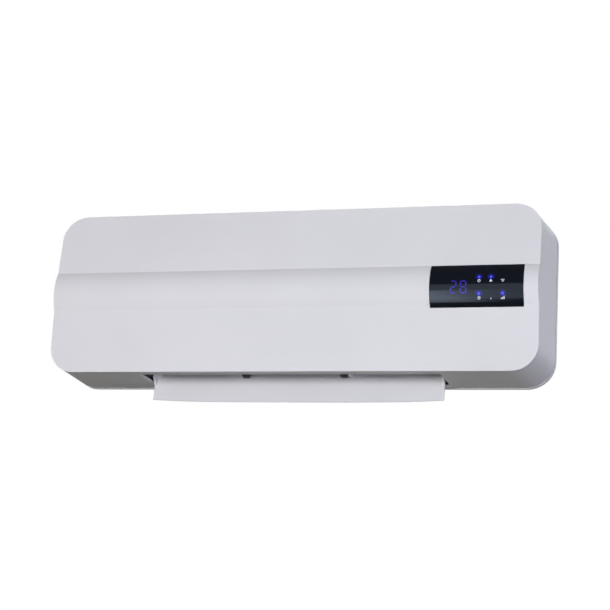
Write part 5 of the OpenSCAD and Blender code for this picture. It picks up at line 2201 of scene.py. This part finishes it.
@dataclass(frozen=True)
class Lamp:
    """Soft lamp that the camera doesn't see.

    Its place, width and height are in metres and its power is in watts. Gloss shows it only
    where it is mirrored.
    """

    name: str
    where: Triple
    size: Pair
    power: float
    colour: Colour
    mirrored: bool = True

    def light(self, aim: Triple) -> None:
        """Adds the lamp, turned towards a point.

        Args:
            aim: The point.
        """
        data = bpy.data.lights.new(self.name, "AREA")
        data.shape = "RECTANGLE"
        data.size, data.size_y = self.size
        data.energy = self.power
        data.color = self.colour
        lamp = bpy.data.objects.new(self.name, data)
        lamp.location = self.where
        ray = Vector(aim) - Vector(self.where)
        lamp.rotation_euler = ray.to_track_quat("-Z", "Y").to_euler()
        lamp.visible_camera = False
        lamp.visible_glossy = self.mirrored
        bpy.context.scene.collection.objects.link(lamp)


# Colours of the lamps that stand in groups.
STRIP: Colour = (0.90, 0.93, 1.0)
REAR: Colour = (0.98, 0.98, 1.0)
LAMPS = (
    Lamp("key_lamp", (0.14, -2.30, -0.285), (1.1, 0.5), 31.2, (0.98, 0.965, 1.0), False),
    Lamp("strip_lamp", (-0.06, -1.40, -0.36), (0.40, 1.3), 1.4, STRIP),
    Lamp("strip_lamp_left", (-0.235, -1.40, -0.75), (0.27, 1.1), 2.5, STRIP),
    Lamp("strip_lamp_middle", (-0.05, -1.40, -0.55), (0.10, 0.7), 0.13, STRIP),
    Lamp("side_lamp", (1.60, -0.93, -0.20), (1.0, 0.9), 2.2, (0.20, 0.48, 1.0)),
    Lamp("low_lamp", (1.50, -0.45, -0.70), (0.9, 0.3), 5.3, (0.88, 0.86, 1.0), False),
    Lamp("back_lamp", (0.60, 2.20, 0.60), (1.2, 1.2), 12.0, REAR),
    Lamp("rear_lamp", (-0.40, 2.40, 0.05), (1.6, 1.0), 17.0, REAR, False),
    Lamp("left_lamp", (-2.00, 0.40, 0.10), (1.0, 1.0), 20.0, (0.95, 0.97, 1.0), False),
    Lamp("top_lamp", (0.00, 0.95, 1.70), (1.4, 0.8), 24.0, REAR, False),
)


@dataclass(frozen=True)
class Studio:
    """Camera, lamps, white surroundings and floor.

    Places and lengths are in metres, angles in radians, and lens and sensor in millimetres.
    """

    aim: Triple = (0.0, -0.05, -0.05)
    eye: Triple = (0.4891, -1.6321, -0.5151)
    lens: float = 93.44
    sensor: float = 36.0
    yaw: float = -0.29465
    pitch: float = -0.2667
    roll: float = 0.0649
    floor_z: float = -2.2
    floor_size: float = 60.0
    floor_seen: Colour = (0.195, 0.18, 0.135)
    floor_glow: Colour = (0.66, 0.66, 0.66)
    mirrored_low: Colour = (0.13, 0.13, 0.135)
    soft_light: Colour = (0.125, 0.125, 0.13)

    def shoot(self) -> None:
        """Sets up everything that isn't part of the heater."""
        bpy.context.scene.view_settings.view_transform = "Standard"
        self._camera()
        self._world()
        self._floor()
        for lamp in LAMPS:
            lamp.light(self.aim)
        log.info("studio is set")

    def _camera(self) -> None:
        """Places the camera as in the photograph."""
        turn = (Matrix.Rotation(self.roll, 3, "Y") @ Matrix.Rotation(self.pitch, 3, "X")
                @ Matrix.Rotation(self.yaw, 3, "Z"))
        right, ahead, up = turn
        data = bpy.data.cameras.new("camera")
        data.lens = self.lens
        data.sensor_width = self.sensor
        camera = bpy.data.objects.new("camera", data)
        bpy.context.scene.collection.objects.link(camera)
        rows = Matrix((right, up, -ahead))
        camera.matrix_world = Matrix.Translation(self.eye) @ rows.transposed().to_4x4()
        bpy.context.scene.camera = camera

    def _world(self) -> None:
        """Shows white to the camera and to gloss and glass, and lights the rest softly."""
        world = bpy.data.worlds.new("surroundings")
        bpy.context.scene.world = world
        world.use_nodes = True
        graph = Graph(world.node_tree)
        ray = graph.node("ShaderNodeLightPath", {}, {}, "Is Camera Ray")
        outputs = ray.socket.node.outputs
        seen = ray + Value(graph, outputs["Is Transmission Ray"])
        gloss = Value(graph, outputs["Is Glossy Ray"])
        _, away, _ = graph.axes(graph.node("ShaderNodeTexCoord", {}, {}, "Generated"))
        backdrop = graph.mix(away.ramp(-0.15, 0.25), self.mirrored_low, FULL_WHITE)
        soft = graph.mix(seen, self.soft_light, FULL_WHITE)
        colour = graph.mix(gloss * (1.0 - seen), soft, backdrop)
        shade = graph.node("ShaderNodeBackground", {}, {"Color": colour, "Strength": 1.0})
        out = graph.tree.nodes.new("ShaderNodeOutputWorld")
        graph.tree.links.new(shade.socket, out.inputs["Surface"])

    def _floor(self) -> None:
        """Lays a pale floor under the heater."""
        bpy.ops.mesh.primitive_plane_add(size=self.floor_size, location=(0.0, 0.0, self.floor_z))
        floor = bpy.context.object
        floor.name = "floor"
        material = bpy.data.materials.new("floor_pale")
        material.use_nodes = True
        graph = Graph(material.node_tree)
        cloud = graph.noise(2.0, detail=2.0)
        ray = graph.node("ShaderNodeLightPath", {}, {}, "Is Camera Ray")
        pale = graph.mix(cloud, shaded(FULL_WHITE, 0.78), shaded(FULL_WHITE, 0.82))
        graph.surface({
            "Base Color": graph.mix(ray, self.floor_seen, pale),
            "Emission Color": graph.mix(ray, BLACK, self.floor_glow),
            "Emission Strength": 1.0,
            "Roughness": 0.9,
        })
        floor.data.materials.append(material)


def main() -> None:
    """Builds the heater's pieces in order and sets the studio."""
    casing = Casing()
    casing.shell()
    casing.chassis()
    Display(casing).build()
    Intake(casing).build()
    Flap().build()
    WallBracket().build()
    LeftSide(casing).build()
    AirPath().build()
    HeatingBlock().build()
    FanDrive().build()
    Electrics().build()
    SwingDrive().build()
    for screws in SCREWS:
        screws.build()
    Studio().shoot()


if __name__ == "__main__":
    logging.basicConfig(level=logging.INFO, format="%(name)s: %(message)s")
    main()
